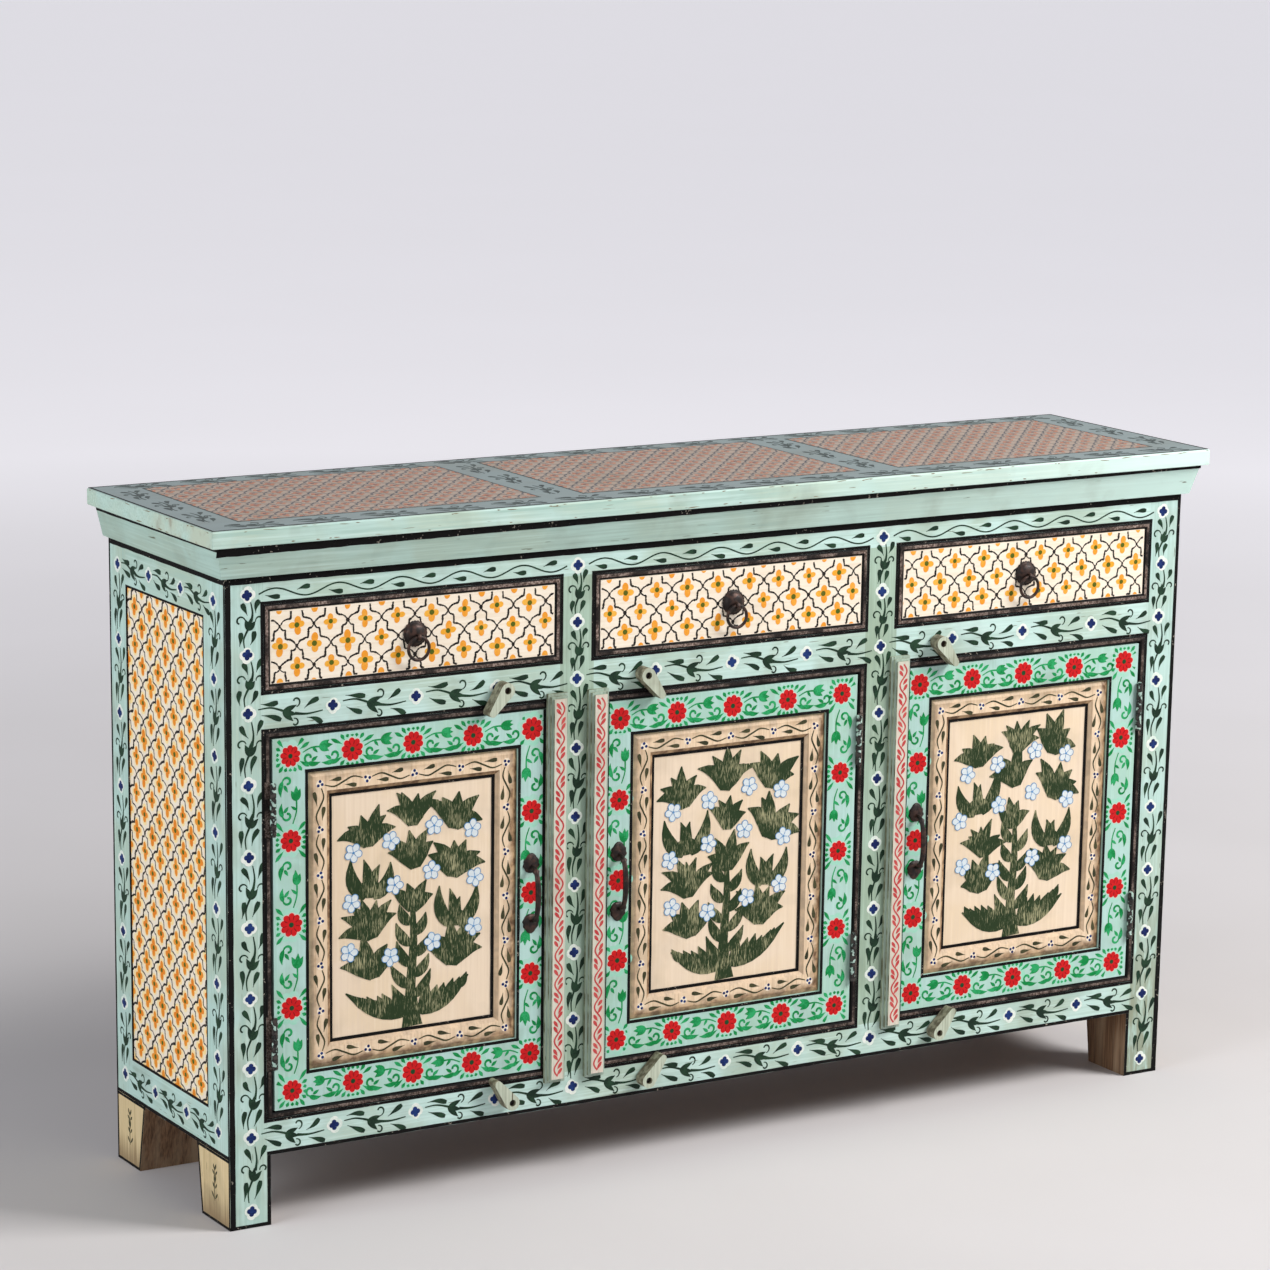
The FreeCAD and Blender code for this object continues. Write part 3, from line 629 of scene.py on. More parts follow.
def oval(place, angle, long, wide):
    return [shifted(place, angle, long / 2 * math.cos(turn), wide / 2 * math.sin(turn))
            for turn in turns(14)]


def disc(place, radius):
    return oval(place, 0.0, 2 * radius, 2 * radius)


def clipped(outline, area):
    """The part of an outline inside an area."""
    for axis, sign, edge in ((0, 1, area[0]), (1, 1, area[1]), (0, -1, area[2]), (1, -1, area[3])):
        kept = []
        for index, point in enumerate(outline):
            before = outline[index - 1]
            inside = sign * (point[axis] - edge) >= 0
            was_inside = sign * (before[axis] - edge) >= 0
            if inside != was_inside:
                share = (edge - before[axis]) / (point[axis] - before[axis])
                kept.append(tuple(a + share * (b - a) for a, b in zip(before, point)))
            if inside:
                kept.append(point)
        outline = kept
    return outline


def inside_runs(path, widths, area):
    """Stretches of a path that stay inside an area."""
    run = []
    for point, width in zip(path, widths):
        u0, v0, u1, v1 = grown(area, -0.3 * width)
        if u0 <= point[0] <= u1 and v0 <= point[1] <= v1:
            run.append((point, width))
            continue
        if len(run) > 1:
            yield zip(*run)
        run = []
    if len(run) > 1:
        yield zip(*run)


# Brush marks

def add_piece(name, vertices, faces, material, body, slot):
    """A mesh that moves with a body."""
    mesh = bpy.data.meshes.new(name)
    mesh.from_pydata(vertices, [], faces)
    mesh.materials.append(material)
    piece = bpy.data.objects.new(name, mesh)
    bpy.context.scene.collection.objects.link(piece)
    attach(piece, body)
    return piece


class Surface:
    """A flat painted face. Its brush marks become one thin closed mesh for each paint."""

    def __init__(self, name, body, slot, origin, across, up, coat=COAT):
        self.name = name
        self.body = body
        self.slot = slot
        self.origin = Vector(origin)
        self.across = Vector(across)
        self.up = Vector(up)
        self.out = self.across.cross(self.up)
        self.limits = None
        self.coat = coat
        self.marks = {}
        self.count = 0

    def height(self, coat):
        self.count += 1
        return coat * self.coat + self.count % int(self.coat / LIFT) * LIFT

    def place(self, point, height):
        return (self.origin + self.across * point[0] + self.up * point[1] + self.out * height) * MM

    def patch(self, paint, outline, coat):
        """Closed patch inside an outline whose middle sees all of it."""
        if self.limits:
            outline = clipped(outline, self.limits)
        if len(outline) < 3:
            return
        vertices, faces = self.marks.setdefault(paint, ([], []))
        start = len(vertices)
        count = len(outline)
        middle = [sum(values) / count for values in zip(*outline)]
        height = self.height(coat)
        vertices += [self.place(point, -SINK) for point in outline]
        vertices += [self.place(point, height) for point in outline]
        vertices.append(self.place(middle, height))
        faces.append([start + count - 1 - step for step in range(count)])
        for step in range(count):
            after = (step + 1) % count
            faces.append((start + step, start + after, start + count + after, start + count + step))
            faces.append((start + count + step, start + count + after, start + 2 * count))

    def ribbon(self, paint, path, widths, coat):
        """Closed brush stroke of changing width along a path."""
        if self.limits:
            for points, sizes in inside_runs(path, widths, self.limits):
                self.stroke(paint, points, sizes, coat)
        else:
            self.stroke(paint, path, widths, coat)

    def stroke(self, paint, path, widths, coat):
        vertices, faces = self.marks.setdefault(paint, ([], []))
        start = len(vertices)
        last = len(path) - 1
        height = self.height(coat)
        for index, (point, width) in enumerate(zip(path, widths)):
            before = path[max(index - 1, 0)]
            after = path[min(index + 1, last)]
            along = (after[0] - before[0], after[1] - before[1])
            length = math.hypot(*along) or 1.0
            aside = (-along[1] / length * width / 2, along[0] / length * width / 2)
            one = (point[0] + aside[0], point[1] + aside[1])
            other = (point[0] - aside[0], point[1] - aside[1])
            vertices += [self.place(one, -SINK), self.place(other, -SINK),
                         self.place(other, height), self.place(one, height)]
        for index in range(last):
            here = start + 4 * index
            for first, second in ((2, 3), (3, 0), (0, 1), (1, 2)):
                faces.append((here + first, here + 4 + first, here + 4 + second, here + second))
        faces.append((start, start + 1, start + 2, start + 3))
        end = start + 4 * last
        faces.append((end + 3, end + 2, end + 1, end))

    def bar(self, first, second, width, coat=3, end_width=None, paint="black"):
        """Straight line drawn by hand, a little uneven."""
        steps = max(2, round(math.dist(first, second) / 14.0))
        path = []
        widths = []
        for share in shares(steps):
            path.append(tuple(a + share * (b - a) for a, b in zip(first, second)))
            widths.append((width + share * ((end_width or width) - width)) * (1 - 0.14 * hand.random()))
        self.ribbon(paint, path, widths, coat)

    def level_bar(self, first, second, level, *style, **more):
        self.bar((first, level), (second, level), *style, **more)

    def upright_bar(self, across, low, high, *style, **more):
        self.bar((across, low), (across, high), *style, **more)

    def chips(self, first, second, count):
        """Small worn places scattered along an edge."""
        edge = Run(self, first, second)
        for chip in range(count):
            edge.leaf("chip", hand.random() * edge.length, wobble(0.8), 0, 4 + 18 * hand.random() ** 3,
                      0.6 + 1.0 * hand.random(), coat=0.5)

    def frame_lines(self, area, width, coat=3, paint="black"):
        """Four lines just inside an area."""
        u0, v0, u1, v1 = area
        half = width / 2
        for level in (v0 + half, v1 - half):
            self.level_bar(u0, u1, level, width, coat, paint=paint)
        for across in (u0 + half, u1 - half):
            self.upright_bar(across, v0, v1, width, coat + 0.2, paint=paint)

    def build(self):
        for paint, (vertices, faces) in self.marks.items():
            add_piece(self.name + "_" + paint, vertices, faces, paints[paint], self.body, self.slot)


def front_surface(name, body, slot, depth, coat=COAT):
    """A face that looks forth; u and v are the object's own x and z."""
    return Surface(name, body, slot, (0, depth, 0), (1, 0, 0), (0, 0, 1), coat)


class Run:
    """A place and direction on a surface. Local points are (along, aside), and flip swaps the sides."""

    def __init__(self, surface, start, end, flip=1):
        self.surface = surface
        self.start = start
        self.length = math.dist(start, end)
        self.angle = math.atan2(end[1] - start[1], end[0] - start[0])
        self.flip = flip

    def at(self, along, aside):
        return shifted(self.start, self.angle, along, aside * self.flip)

    def line(self, paint, points, widths, coat=2):
        """Smooth stroke through local points; the widths spread evenly along it."""
        path = smooth([self.at(*point) for point in points])
        spread = []
        for share in shares(len(path) - 1):
            share *= len(widths) - 1
            low = min(int(share), len(widths) - 2)
            spread.append(widths[low] + (share - low) * (widths[low + 1] - widths[low]))
        self.surface.ribbon(paint, path, spread, coat)

    def wave(self, paint, waves, swing, width, coat=2):
        """Stem that swings from side to side so many times."""
        points = [(self.length * q, swing * math.sin(2 * math.pi * waves * q)) for q in shares(waves * 8)]
        self.line(paint, points, (width, width), coat)

    def leaf(self, paint, along, aside, aim, length, width, bend=0.0, coat=2, press=0.8, stop=1.0):
        """Brush stroke aimed at an angle to the run; a press over 1 makes it widest near its end, and a stop
        under 1 ends it bluntly."""
        aim += wobble(0.1)
        length *= 1 + wobble(0.1)
        path = []
        widths = []
        for q in shares(8):
            path.append(self.at(*shifted((along, aside), aim, length * q, bend * math.sin(math.pi * q))))
            widths.append(width * max(0.08, math.sin(math.pi * min(stop * q + 0.03, 1.0) ** press) ** 0.8))
        self.surface.ribbon(paint, path, widths, coat)

    def curl(self, paint, along, aside, aim, radius, turn, width):
        """Scroll that tightens towards a round end; a negative turn goes the other way."""
        steps = 11
        point = (along, aside)
        path = []
        widths = []
        for q in shares(steps):
            path.append(self.at(*point))
            widths.append(width * (0.6 + 0.6 * math.sin(math.pi * q) + 0.5 * q ** 4))
            point = shifted(point, aim, radius * (1.0 - 0.62 * q) * abs(turn) / steps)
            aim += turn / steps
        self.surface.ribbon(paint, path, widths, 2)

    def dot(self, paint, along, aside, radius, coat):
        self.surface.patch(paint, disc(self.at(along, aside), radius), coat)


def ray(surface, place, angle):
    """A run from a place in a direction."""
    return Run(surface, place, shifted(place, angle, 1.0))


# Ornament

def blue_flower(surface, place):
    spin = wobble(0.15)
    halo = BLUE_HALO * (1 + wobble(0.06))
    ground = (place[0] + wobble(1.2), place[1] + wobble(1.2))
    surface.patch("white", rosette(ground, 4, halo, 0.8 * halo, spin + wobble(0.2)), 3)
    surface.patch("navy", rosette(place, 4, BLUE_FLOWER, 0.66 * BLUE_FLOWER, spin), 4)


# The frame's vine: points as shares of its repeat and millimetres aside; then aims and lengths of leaves
VINE_STEM = ((0.12, 3.8), (0.25, 4.8), (0.35, 2), (0.45, -2.5))
VINE_TIP = ((0.55, -5.5), (0.7, -7.5), (0.88, -5))
VINE_CALYX = ((0.32, 16), (-0.18, 17), (-0.7, 16))
VINE_LEAVES = ((0.66, -0.5, 0.5, 18), (0.69, -12, -0.36, 18.5), (0.15, 10.5, -0.05, 21),
               (0.16, -4, -0.36, 21))


def vine_unit(run, spread=1.0, green="vine_green"):
    """One repeat of the frame's vine: stem, calyx with two curls, and two pairs of leaf strokes."""
    gap = run.length
    long = min(1.25, gap / VINE_LENGTH)

    def at(share, aside):
        return share * gap, aside * spread
    run.line(green, [at(*point) for point in VINE_STEM], (1.4, 2.1, 2.6, 3.4))
    run.line(green, [at(*point) for point in VINE_TIP], (4.0, 2.4, 1.4))
    for aim, length in VINE_CALYX:
        run.leaf(green, *at(0.41, -2.2), aim, length * long, 7.2)
    run.curl(green, 0.41 * gap + 15 * long, 2.6 * spread, 0.5, 6.6, 4.4, 1.9)
    run.curl(green, 0.41 * gap + 12 * long, -11.5 * spread, -0.1, 5.4, -4.6, 1.9)
    for share, aside, aim, length in VINE_LEAVES:
        run.leaf(green, *at(share, aside), aim, length * long, 7.0, wobble(2.2), **BLUNT)


def vine(surface, start, end, repeats, spread=1.0, first=True, last=True):
    """Vine with a blue flower between repeats, and at its ends if asked for."""
    flower = first
    for place, after in stretches(start, end, repeats):
        if flower:
            blue_flower(surface, place)
        vine_unit(Run(surface, place, after), spread)
        flower = True
    if last:
        blue_flower(surface, end)


def rail_vine(surface, start, end):
    """The top rail's wavy stem with one leaf in each hollow."""
    run = Run(surface, start, end)
    waves = max(1, round(run.length / RAIL_WAVE))
    half_wave = run.length / waves / 2
    run.wave("vine_green", waves, RAIL_SWING, RAIL_STEM)
    for half in range(waves * 2):
        side = -1 if half % 2 else 1
        run.leaf("vine_green", (half + 0.2) * half_wave, -side * RAIL_SWING * 0.3, -side * 0.12,
                 RAIL_LEAF, RAIL_LEAF * 0.32, -side * 1.0, **BLUNT)


def red_flower(surface, place, ways, room):
    """Red flower with leaf strokes round it, except towards the ways that are taken; there is so much room
    on each side of a way."""
    spin = wobble(0.3)
    radius = RED_FLOWER * (1 + wobble(0.05))
    surface.patch("mint_halo", rosette(place, PETALS, radius * 1.5, radius * 1.3), 1)
    surface.patch("pink_halo", rosette(place, PETALS, radius * 1.06, radius * 0.92, spin), 3)
    surface.patch("red", rosette(place, PETALS, radius, radius * 0.8, spin), 4)
    surface.patch("dark_green", disc(place, radius * 0.22), 5)
    for petal in range(PETALS):
        angle = spin + 2 * math.pi * (petal + 0.5) / PETALS
        ray(surface, place, angle).leaf("dark_red", radius * 0.4, 0, 0, radius * 0.42, 1.3, coat=5)
    strokes = 18
    for step in range(strokes):
        angle = 2 * math.pi * (step + 0.5) / strokes
        off = min(math.acos(math.cos(angle - way)) for way in ways)
        if off > 0.4:
            length = min(16.0, room / math.sin(off) - 1.12 * radius)
            if length > 2.5:
                ray(surface, place, angle).leaf("leaf_green", 1.09 * radius, 0, 0.0, length, 4.8, press=1.5)


def door_unit(run):
    """Ornament between two red flowers: a bud on a stem and, beside it, a leafy scroll at each flower."""
    gap = run.length
    green = "leaf_green"
    run.line(green, [(0.2 * gap, -3), (0.34 * gap, -8), (0.5 * gap, -8)], (1.4, 1.9, 2.4))
    for aim, length in ((0.0, 18), (0.42, 16), (-0.42, 16)):
        run.leaf(green, 0.47 * gap, -8, aim, length, 7.8)
    run.leaf(green, 0.36 * gap, -8, 0.9, 10, 3.8)
    for end, way in ((0.0, 1), (gap, -1)):
        start = end + way * 0.32 * gap
        aim = 0.0 if way > 0 else math.pi
        run.curl(green, start, 11, aim + math.pi, 6.4, way * 5.4, 2.7)
        run.leaf(green, start - way * 3, 11, aim + way * 0.1, 18, 6.4, way * 2.0, press=0.7)
        run.leaf(green, start + way * 2, 9, aim - way * 0.6, 10, 4.4)


# Stem of the moulding's vine: points as shares of its repeat and millimetres aside
MOULDING_STEM = ((0.1, 2), (0.3, 5.2), (0.5, 0), (0.7, -5.2), (0.9, -2))


def moulding_run(surface, start, end, repeats):
    """Fine vine with triple dots along one side of a moulding."""
    for index, (place, after) in enumerate(stretches(start, end, repeats)):
        run = Run(surface, place, after, 1 if index % 2 else -1)
        gap = run.length
        run.line("olive", [(share * gap, aside) for share, aside in MOULDING_STEM], (1.2, 2.3, 2.2, 1.2))
        run.leaf("olive", 0.2 * gap, -3.0, -0.15, 17.5, 5.6, **BLUNT)
        run.leaf("olive", 0.52 * gap, 4.0, 0.15, 17.5, 5.6, **BLUNT)
        run.dot("faint_white", 0, 0, 5.2, 2)
        for angle in (0.3, 2.4, 4.5):
            run.dot("navy", 3.2 * math.cos(angle + wobble(0.3)), 3.2 * math.sin(angle), 2.0, 3)


# Half of a lattice cell's upper outline, from its top to its side, as shares of the cell's size
CELL_EDGE = ((0, 0.5), (0.02, 0.455), (0.06, 0.41), (0.105, 0.385), (0.155, 0.375), (0.165, 0.31),
             (0.175, 0.24), (0.185, 0.17), (0.25, 0.155), (0.33, 0.135), (0.405, 0.095), (0.46, 0.045),
             (0.5, 0))
# Lattices: cell, widths of its lines, paints, and paint, length and breadth of upright and level petals
DRAWER_LATTICE = dict(cell=FRONT_LATTICE, widths=(2.4, 2.7), line="lattice", wash=None, heart="centre_green",
                      upright=("light_orange", 0.84, 0.66), level=("amber", 0.74, 0.6))
PANEL_LATTICE = dict(cell=SIDE_LATTICE, widths=(1.9, 3.3), line="lattice", wash="petal_wash",
                     heart="centre_green", upright=("orange", 0.96, 0.74), level=("orange", 0.76, 0.66))
SLAB_LATTICE = dict(cell=TOP_LATTICE, widths=(1.2, 1.8), line="top_grey", wash=None, heart="top_grey",
                    upright=("top_red", 0.9, 0.6), level=("top_red", 0.7, 0.5))


def lattice(surface, area, style, coat=1):
    """Four-lobed cells with a four-petalled flower in each, cut off at the area's edges."""
    surface.limits = area
    u0, v0, u1, v1 = area
    wide, high = style["cell"]
    columns = math.ceil((u1 - u0) / wide) + 1
    rows = math.ceil((v1 - v0) / high) + 1
    for column in range(-columns, columns + 1):
        for row in range(-rows, rows + 1):
            u = (u0 + u1) / 2 + column * wide / 2
            v = (v0 + v1) / 2 + row * high / 2
            inside = u0 - wide / 2 < u < u1 + wide / 2 and v0 - high / 2 < v < v1 + high / 2
            if inside and (column + row) % 2 == 0:
                lattice_cell(surface, (u, v), style, coat)
    surface.limits = None


def lattice_cell(surface, place, style, coat):
    wide, high = style["cell"]
    for side, width in zip((1, -1), style["widths"]):
        edge = [(place[0] + side * across * wide + wobble(0.5), place[1] + up * high + wobble(0.5))
                for across, up in CELL_EDGE]
        path = smooth(edge, 3)
        sizes = [width * (0.5 + 0.5 * math.sin(math.pi * q) + wobble(0.3)) for q in shares(len(path) - 1)]
        surface.ribbon(style["line"], path, sizes, coat + 1)
    node = (place[0] + wide / 2, place[1])
    surface.patch(style["line"], disc(node, 0.045 * wide * (1 + wobble(0.3))), coat + 2)
    flower = (place[0] + wobble(0.9), place[1] + wobble(0.9))
    reach = 0.25 * high * (1 + wobble(0.1))
    if style["wash"]:
        surface.patch(style["wash"], rosette(flower, 4, 1.25 * reach, 0.75 * reach), coat)
    for petal in range(4):
        angle = petal * math.pi / 2 + wobble(0.2)
        paint, long, broad = style["upright" if petal % 2 else "level"]
        long *= reach * (1 + wobble(0.12))
        middle = shifted(flower, angle, reach * 0.06 + long / 2)
        surface.patch(paint, oval(middle, angle, long, broad * reach), coat + 1)
    surface.patch(style["heart"], disc(flower, 0.25 * reach), coat + 2)


def leaf_clump(surface, place, aim, reach, lobes, spread, curl):
    """Leaf of several lobes that fan out from a broad foot; a negative curl turns their tips outwards."""
    run = ray(surface, place, aim)
    foot = oval(run.at(0.28 * reach, 0), aim + math.pi / 2, 0.7 * reach * spread, 0.46 * reach)
    surface.patch("plant_green", foot, 2)
    width = min(2.1 * spread / lobes, 0.38) * reach
    for lobe in range(lobes):
        share = 2 * lobe / (lobes - 1) - 1
        length = reach * (1 - 0.2 * share * share) * (1 + wobble(0.12))
        run.leaf("plant_green", 0, 0.1 * reach * share, share * spread + wobble(0.06), length, width,
                 curl * length * share + wobble(1.5), press=1.0)


def horned_leaf(surface, place, aim, reach):
    """Leaf of two long horns with short lobes between them, on a round foot."""
    run = ray(surface, place, aim)
    foot = oval(run.at(0.2 * reach, 0), aim + math.pi / 2, 0.6 * reach, 0.4 * reach)
    surface.patch("plant_green", foot, 2)
    for way in (1, -1):
        run.leaf("plant_green", 0, 0.1 * reach * way, 0.42 * way, reach * (1 + wobble(0.15)),
                 0.34 * reach, 0.14 * reach * way, press=0.75)
        run.leaf("plant_green", 0.1 * reach, 0.06 * reach * way, 0.14 * way,
                 0.66 * reach * (1 + wobble(0.15)), 0.26 * reach, -0.06 * reach * way)


def jagged_leaf(run, width, teeth=6):
    """Long sagging leaf with pointed teeth along its upper edge."""
    sag = -0.1 * run.length
    run.leaf("plant_green", 0, 0, 0, run.length, 0.75 * width, sag, press=0.7)
    for tooth in range(teeth):
        share = 0.1 + 0.74 * tooth / teeth
        run.leaf("plant_green", share * run.length, sag * math.sin(math.pi * share), 0.8 - 0.3 * share,
                 width * (1.1 - 0.5 * share), 0.5 * width * (1 - 0.4 * share), -1.0)


def pale_flower(surface, place):
    spin = wobble(0.6)
    outline = rosette(place, 5, PALE_FLOWER, 0.62 * PALE_FLOWER, spin)
    surface.patch("pale_blue", outline, 3)
    surface.ribbon("blue_line", outline + outline[:1], [0.9] * (len(outline) + 1), 4)
    for petal in range(5):
        angle = spin + 2 * math.pi * (petal + 0.5) / 5
        ray(surface, place, angle).leaf("blue_line", 1.5, 0, 0, 0.5 * PALE_FLOWER, 0.9, coat=4)
    surface.patch("blue_line", disc(place, 1.7), 5)


# Leaves of a plant: places as shares of the field, lean, reach as a share of its height, lobes, spread and
# curl; the horned ones have no more than a reach
PLANT_LEAVES = (
    (-0.23, -0.28, -0.25, 0.155, 5, 0.95, -0.2),
    (0.24, -0.27, 0.3, 0.17, 6, 1.0, -0.24),
    (-0.23, -0.11, -0.1, 0.155, 7, 1.05, -0.22),
    (0.25, 0.1, 0.25, 0.175, 6, 1.05, -0.22),
    (-0.27, 0.27, -0.2, 0.155, 6, 1.05, -0.25),
    (0.26, 0.29, 0.2, 0.16, 5, 0.95, -0.2),
    (0.0, -0.02, 0.1, 0.14, 4, 0.75, -0.15),
    (0.0, 0.16, -0.1, 0.16, 5, 0.8, -0.2),
    (0.0, 0.32, 0.05, 0.165, 6, 0.9, -0.22),
)
PLANT_HORNS = ((0.26, -0.11, 0.05, 0.17), (-0.26, 0.06, 0.0, 0.18))
PLANT_LOBES = 9
PLANT_FLOWERS = ((0.13, -0.17), (0.37, -0.13), (0.38, 0.07), (0.12, 0.12), (0.36, 0.27), (0.13, 0.3))


def flowering_plant(surface, place, wide, high):
    """Upright plant: two long leaves at its foot, pairs of jagged leaves, a crown and pale flowers."""
    def at(across, up):
        return (place[0] + across * wide, place[1] + up * high)
    stem = Run(surface, at(0, -0.485), at(0, 0.05))
    stem.line("plant_green", [(0, 0), (0.3 * stem.length, 2), (0.65 * stem.length, -2), (stem.length, 0)],
              (30, 14, 11, 5), 1)
    for lobe in range(PLANT_LOBES):
        share = 0.14 + 0.72 * lobe / PLANT_LOBES
        way = -1 if lobe % 2 else 1
        stem.leaf("plant_green", share * stem.length, 2 * way, way * 0.62, 46 - 18 * share, 15, way * 4)
    for side in (1, -1):
        jagged_leaf(Run(surface, at(0.01 * side, -0.42), at(0.38 * side, -0.32 + 0.02 * side), side), 32)
    for across, up, lean, reach, lobes, spread, curl in PLANT_LEAVES:
        spot = at(across + wobble(0.02), up + wobble(0.012))
        leaf_clump(surface, spot, math.pi / 2 - lean + wobble(0.2), reach * high * (1 + wobble(0.08)),
                   lobes, spread, curl)
    for across, up, lean, reach in PLANT_HORNS:
        horned_leaf(surface, at(across, up + wobble(0.012)), math.pi / 2 - lean + wobble(0.12), reach * high)
    for across, up in PLANT_FLOWERS:
        for side in (1, -1):
            pale_flower(surface, at(side * across + wobble(0.015), up + 0.02 * side))


# Painted faces of the carcass

TOP = dict(origin=(0, 0, slab_high.z), across=(1, 0, 0), up=(0, 1, 0))
post_middle = (left + CORNER_LINE + rail_low.x) / 2
columns = [post_middle, mullion_low.x + mullion_width / 2, mullion_high.x - mullion_width / 2, -post_middle]
bottom_level = (leg_height + FLOOR_LINE + door_low) / 2
middle_level = (door_high + drawer_low) / 2
top_level = (drawer_high + body_top - CORNICE_LINE) / 2


def paint_front():
    face = front_surface("front", "carcass", "painted_mint", front)
    for u in columns:
        spread = MULLION_SPREAD if u in columns[1:3] else 1.0
        vine(face, (u, middle_level), (u, top_level), DRAWER_VINES, spread)
        vine(face, (u, bottom_level), (u, middle_level), POST_VINES, spread, last=False)
    for u in (columns[0], columns[-1]):
        vine(face, (u, LEG_FLOWER_HEIGHT), (u, bottom_level), 1, last=False)
    for u0, u1 in zip(columns, columns[1:]):
        for level, spread in ((middle_level, 1.0), (bottom_level, BOTTOM_SPREAD)):
            vine(face, (u0, level), (u1, level), RAIL_VINES, spread, first=False, last=False)
        rail_vine(face, (u0 + RAIL_WAVE_INSET, top_level), (u1 - RAIL_WAVE_INSET, top_level))
    for side in (1, -1):
        low, high = CORNER_LINES[side]
        face.bar((side * (right - low / 2), 0), (side * (right - high / 2), body_top), low,
                 end_width=high)
        inner = side * (right - (post_high.x - left) + FLOOR_LINE / 2)
        face.upright_bar(inner, 0, leg_height, FLOOR_LINE)
        face.level_bar(side * right, inner, FLOOR_LINE / 2, FLOOR_LINE, 3.4)
    face.level_bar(left, right, body_top - CORNICE_LINE / 2, CORNICE_LINE, 3.4)
    face.level_bar(rail_low.x, rail_high.x, leg_height + FLOOR_LINE / 2, FLOOR_LINE)
    for bay in BAYS:
        start = rail_low.x + bay * (bay_width + mullion_width)
        for low, high in ((drawer_low, drawer_high), (door_low, door_high)):
            opening = (start, low, start + bay_width, high)
            face.frame_lines(grown(opening, OPENING_LINE), OPENING_LINE)
    face.build()


def side_surface(word, name, slot, inset=0.0):
    """The left or right face; u runs from the back to the front on the left, else from front to back."""
    if word == "left":
        return Surface(name, "carcass", slot, (left + inset, back, 0), (0, -1, 0), (0, 0, 1))
    return Surface(name, "carcass", slot, (right - inset, front, 0), (0, 1, 0), (0, 0, 1))


def paint_side(word):
    face = side_surface(word, "side_" + word, "painted_mint")
    panel_low, panel_high = node_box("side_panel_" + word)
    deep = back - front
    v0, v1 = panel_low.z, panel_high.z
    if word == "left":
        u0, u1 = back - panel_high.y, back - panel_low.y
        inset = panel_low.x - left
    else:
        u0, u1 = panel_low.y - front, panel_high.y - front
        inset = right - panel_high.x
    low_level = (leg_height + FLOOR_LINE + v0) / 2
    high_level = (v1 + body_top - CORNICE_LINE) / 2
    first = (SIDE_LINE + u0) / 2
    last = (u1 + deep - SIDE_LINE) / 2
    for u in (first, last):
        vine(face, (u, low_level), (u, high_level), SIDE_POST_VINES, SIDE_SPREAD)
    for level in (low_level, high_level):
        vine(face, (first, level), (last, level), SIDE_RAIL_VINES, SIDE_SPREAD, first=False, last=False)
    for u in (SIDE_LINE / 2, deep - SIDE_LINE / 2):
        face.upright_bar(u, leg_height, body_top, SIDE_LINE)
    face.level_bar(0, deep, body_top - CORNICE_LINE / 2, CORNICE_LINE, 3.2)
    face.level_bar(0, deep, leg_height + FLOOR_LINE / 2, FLOOR_LINE, 3.2)
    face.build()

    panel = side_surface(word, "side_lattice_" + word, "painted_ivory", inset)
    area = (u0, v0, u1, v1)
    lattice(panel, area, PANEL_LATTICE)
    panel.frame_lines(area, PANEL_LINE, inset / COAT - 1)
    panel.build()


# Leaves of the sprig on a leg: share of its length, aim and length
SPRIG_LEAVES = ((0.05, 0.75, 11), (0.35, 0.6, 9), (0.5, 0.12, 12), (0.75, 0.7, 9), (0.9, 0.35, 9))


def leg_depth(where, word, height):
    """Depth of a leg's outer face at a height, from its solid."""
    edge = left if word == "left" else right
    level = [point.y for point in node_points("post_" + where + "_" + word)
             if abs(point.x - edge) < 0.5 and abs(point.z - height) < 0.5]
    return max(level) - front if where == "front" else back - min(level)


def paint_leg(where, word):
    """Cream outer face of a leg, with black lines round it and a sprig."""
    face = side_surface(word, "leg_" + where + "_" + word, "painted_cream")
    outline = [(0, 0), (leg_depth(where, word, 0.0), 0), (leg_depth(where, word, leg_height), leg_height),
               (0, leg_height)]
    if (where == "back") != (word == "left"):
        outline = [(back - front - u, v) for u, v in reversed(outline)]
    face.patch("leg_cream", outline, 1)
    for index, corner in enumerate(outline):
        run = Run(face, outline[index - 1], corner)
        face.bar(run.at(0, SIDE_LINE / 2), run.at(run.length, SIDE_LINE / 2), SIDE_LINE,
                 2 + 0.5 * index)
    middle = sum(corner[0] for corner in outline) / 4
    sprig = Run(face, (middle, SPRIG_FOOT), (middle, leg_height - SPRIG_TOP))
    sprig.line("olive", [(0, 0), (sprig.length * 0.5, 1), (sprig.length, 0)], (1.2, 2.0, 1.2))
    for share, aim, length in SPRIG_LEAVES:
        for way in (1, -1):
            sprig.leaf("olive", sprig.length * share, way, way * aim, length, 3.4, press=1.4)
    face.build()


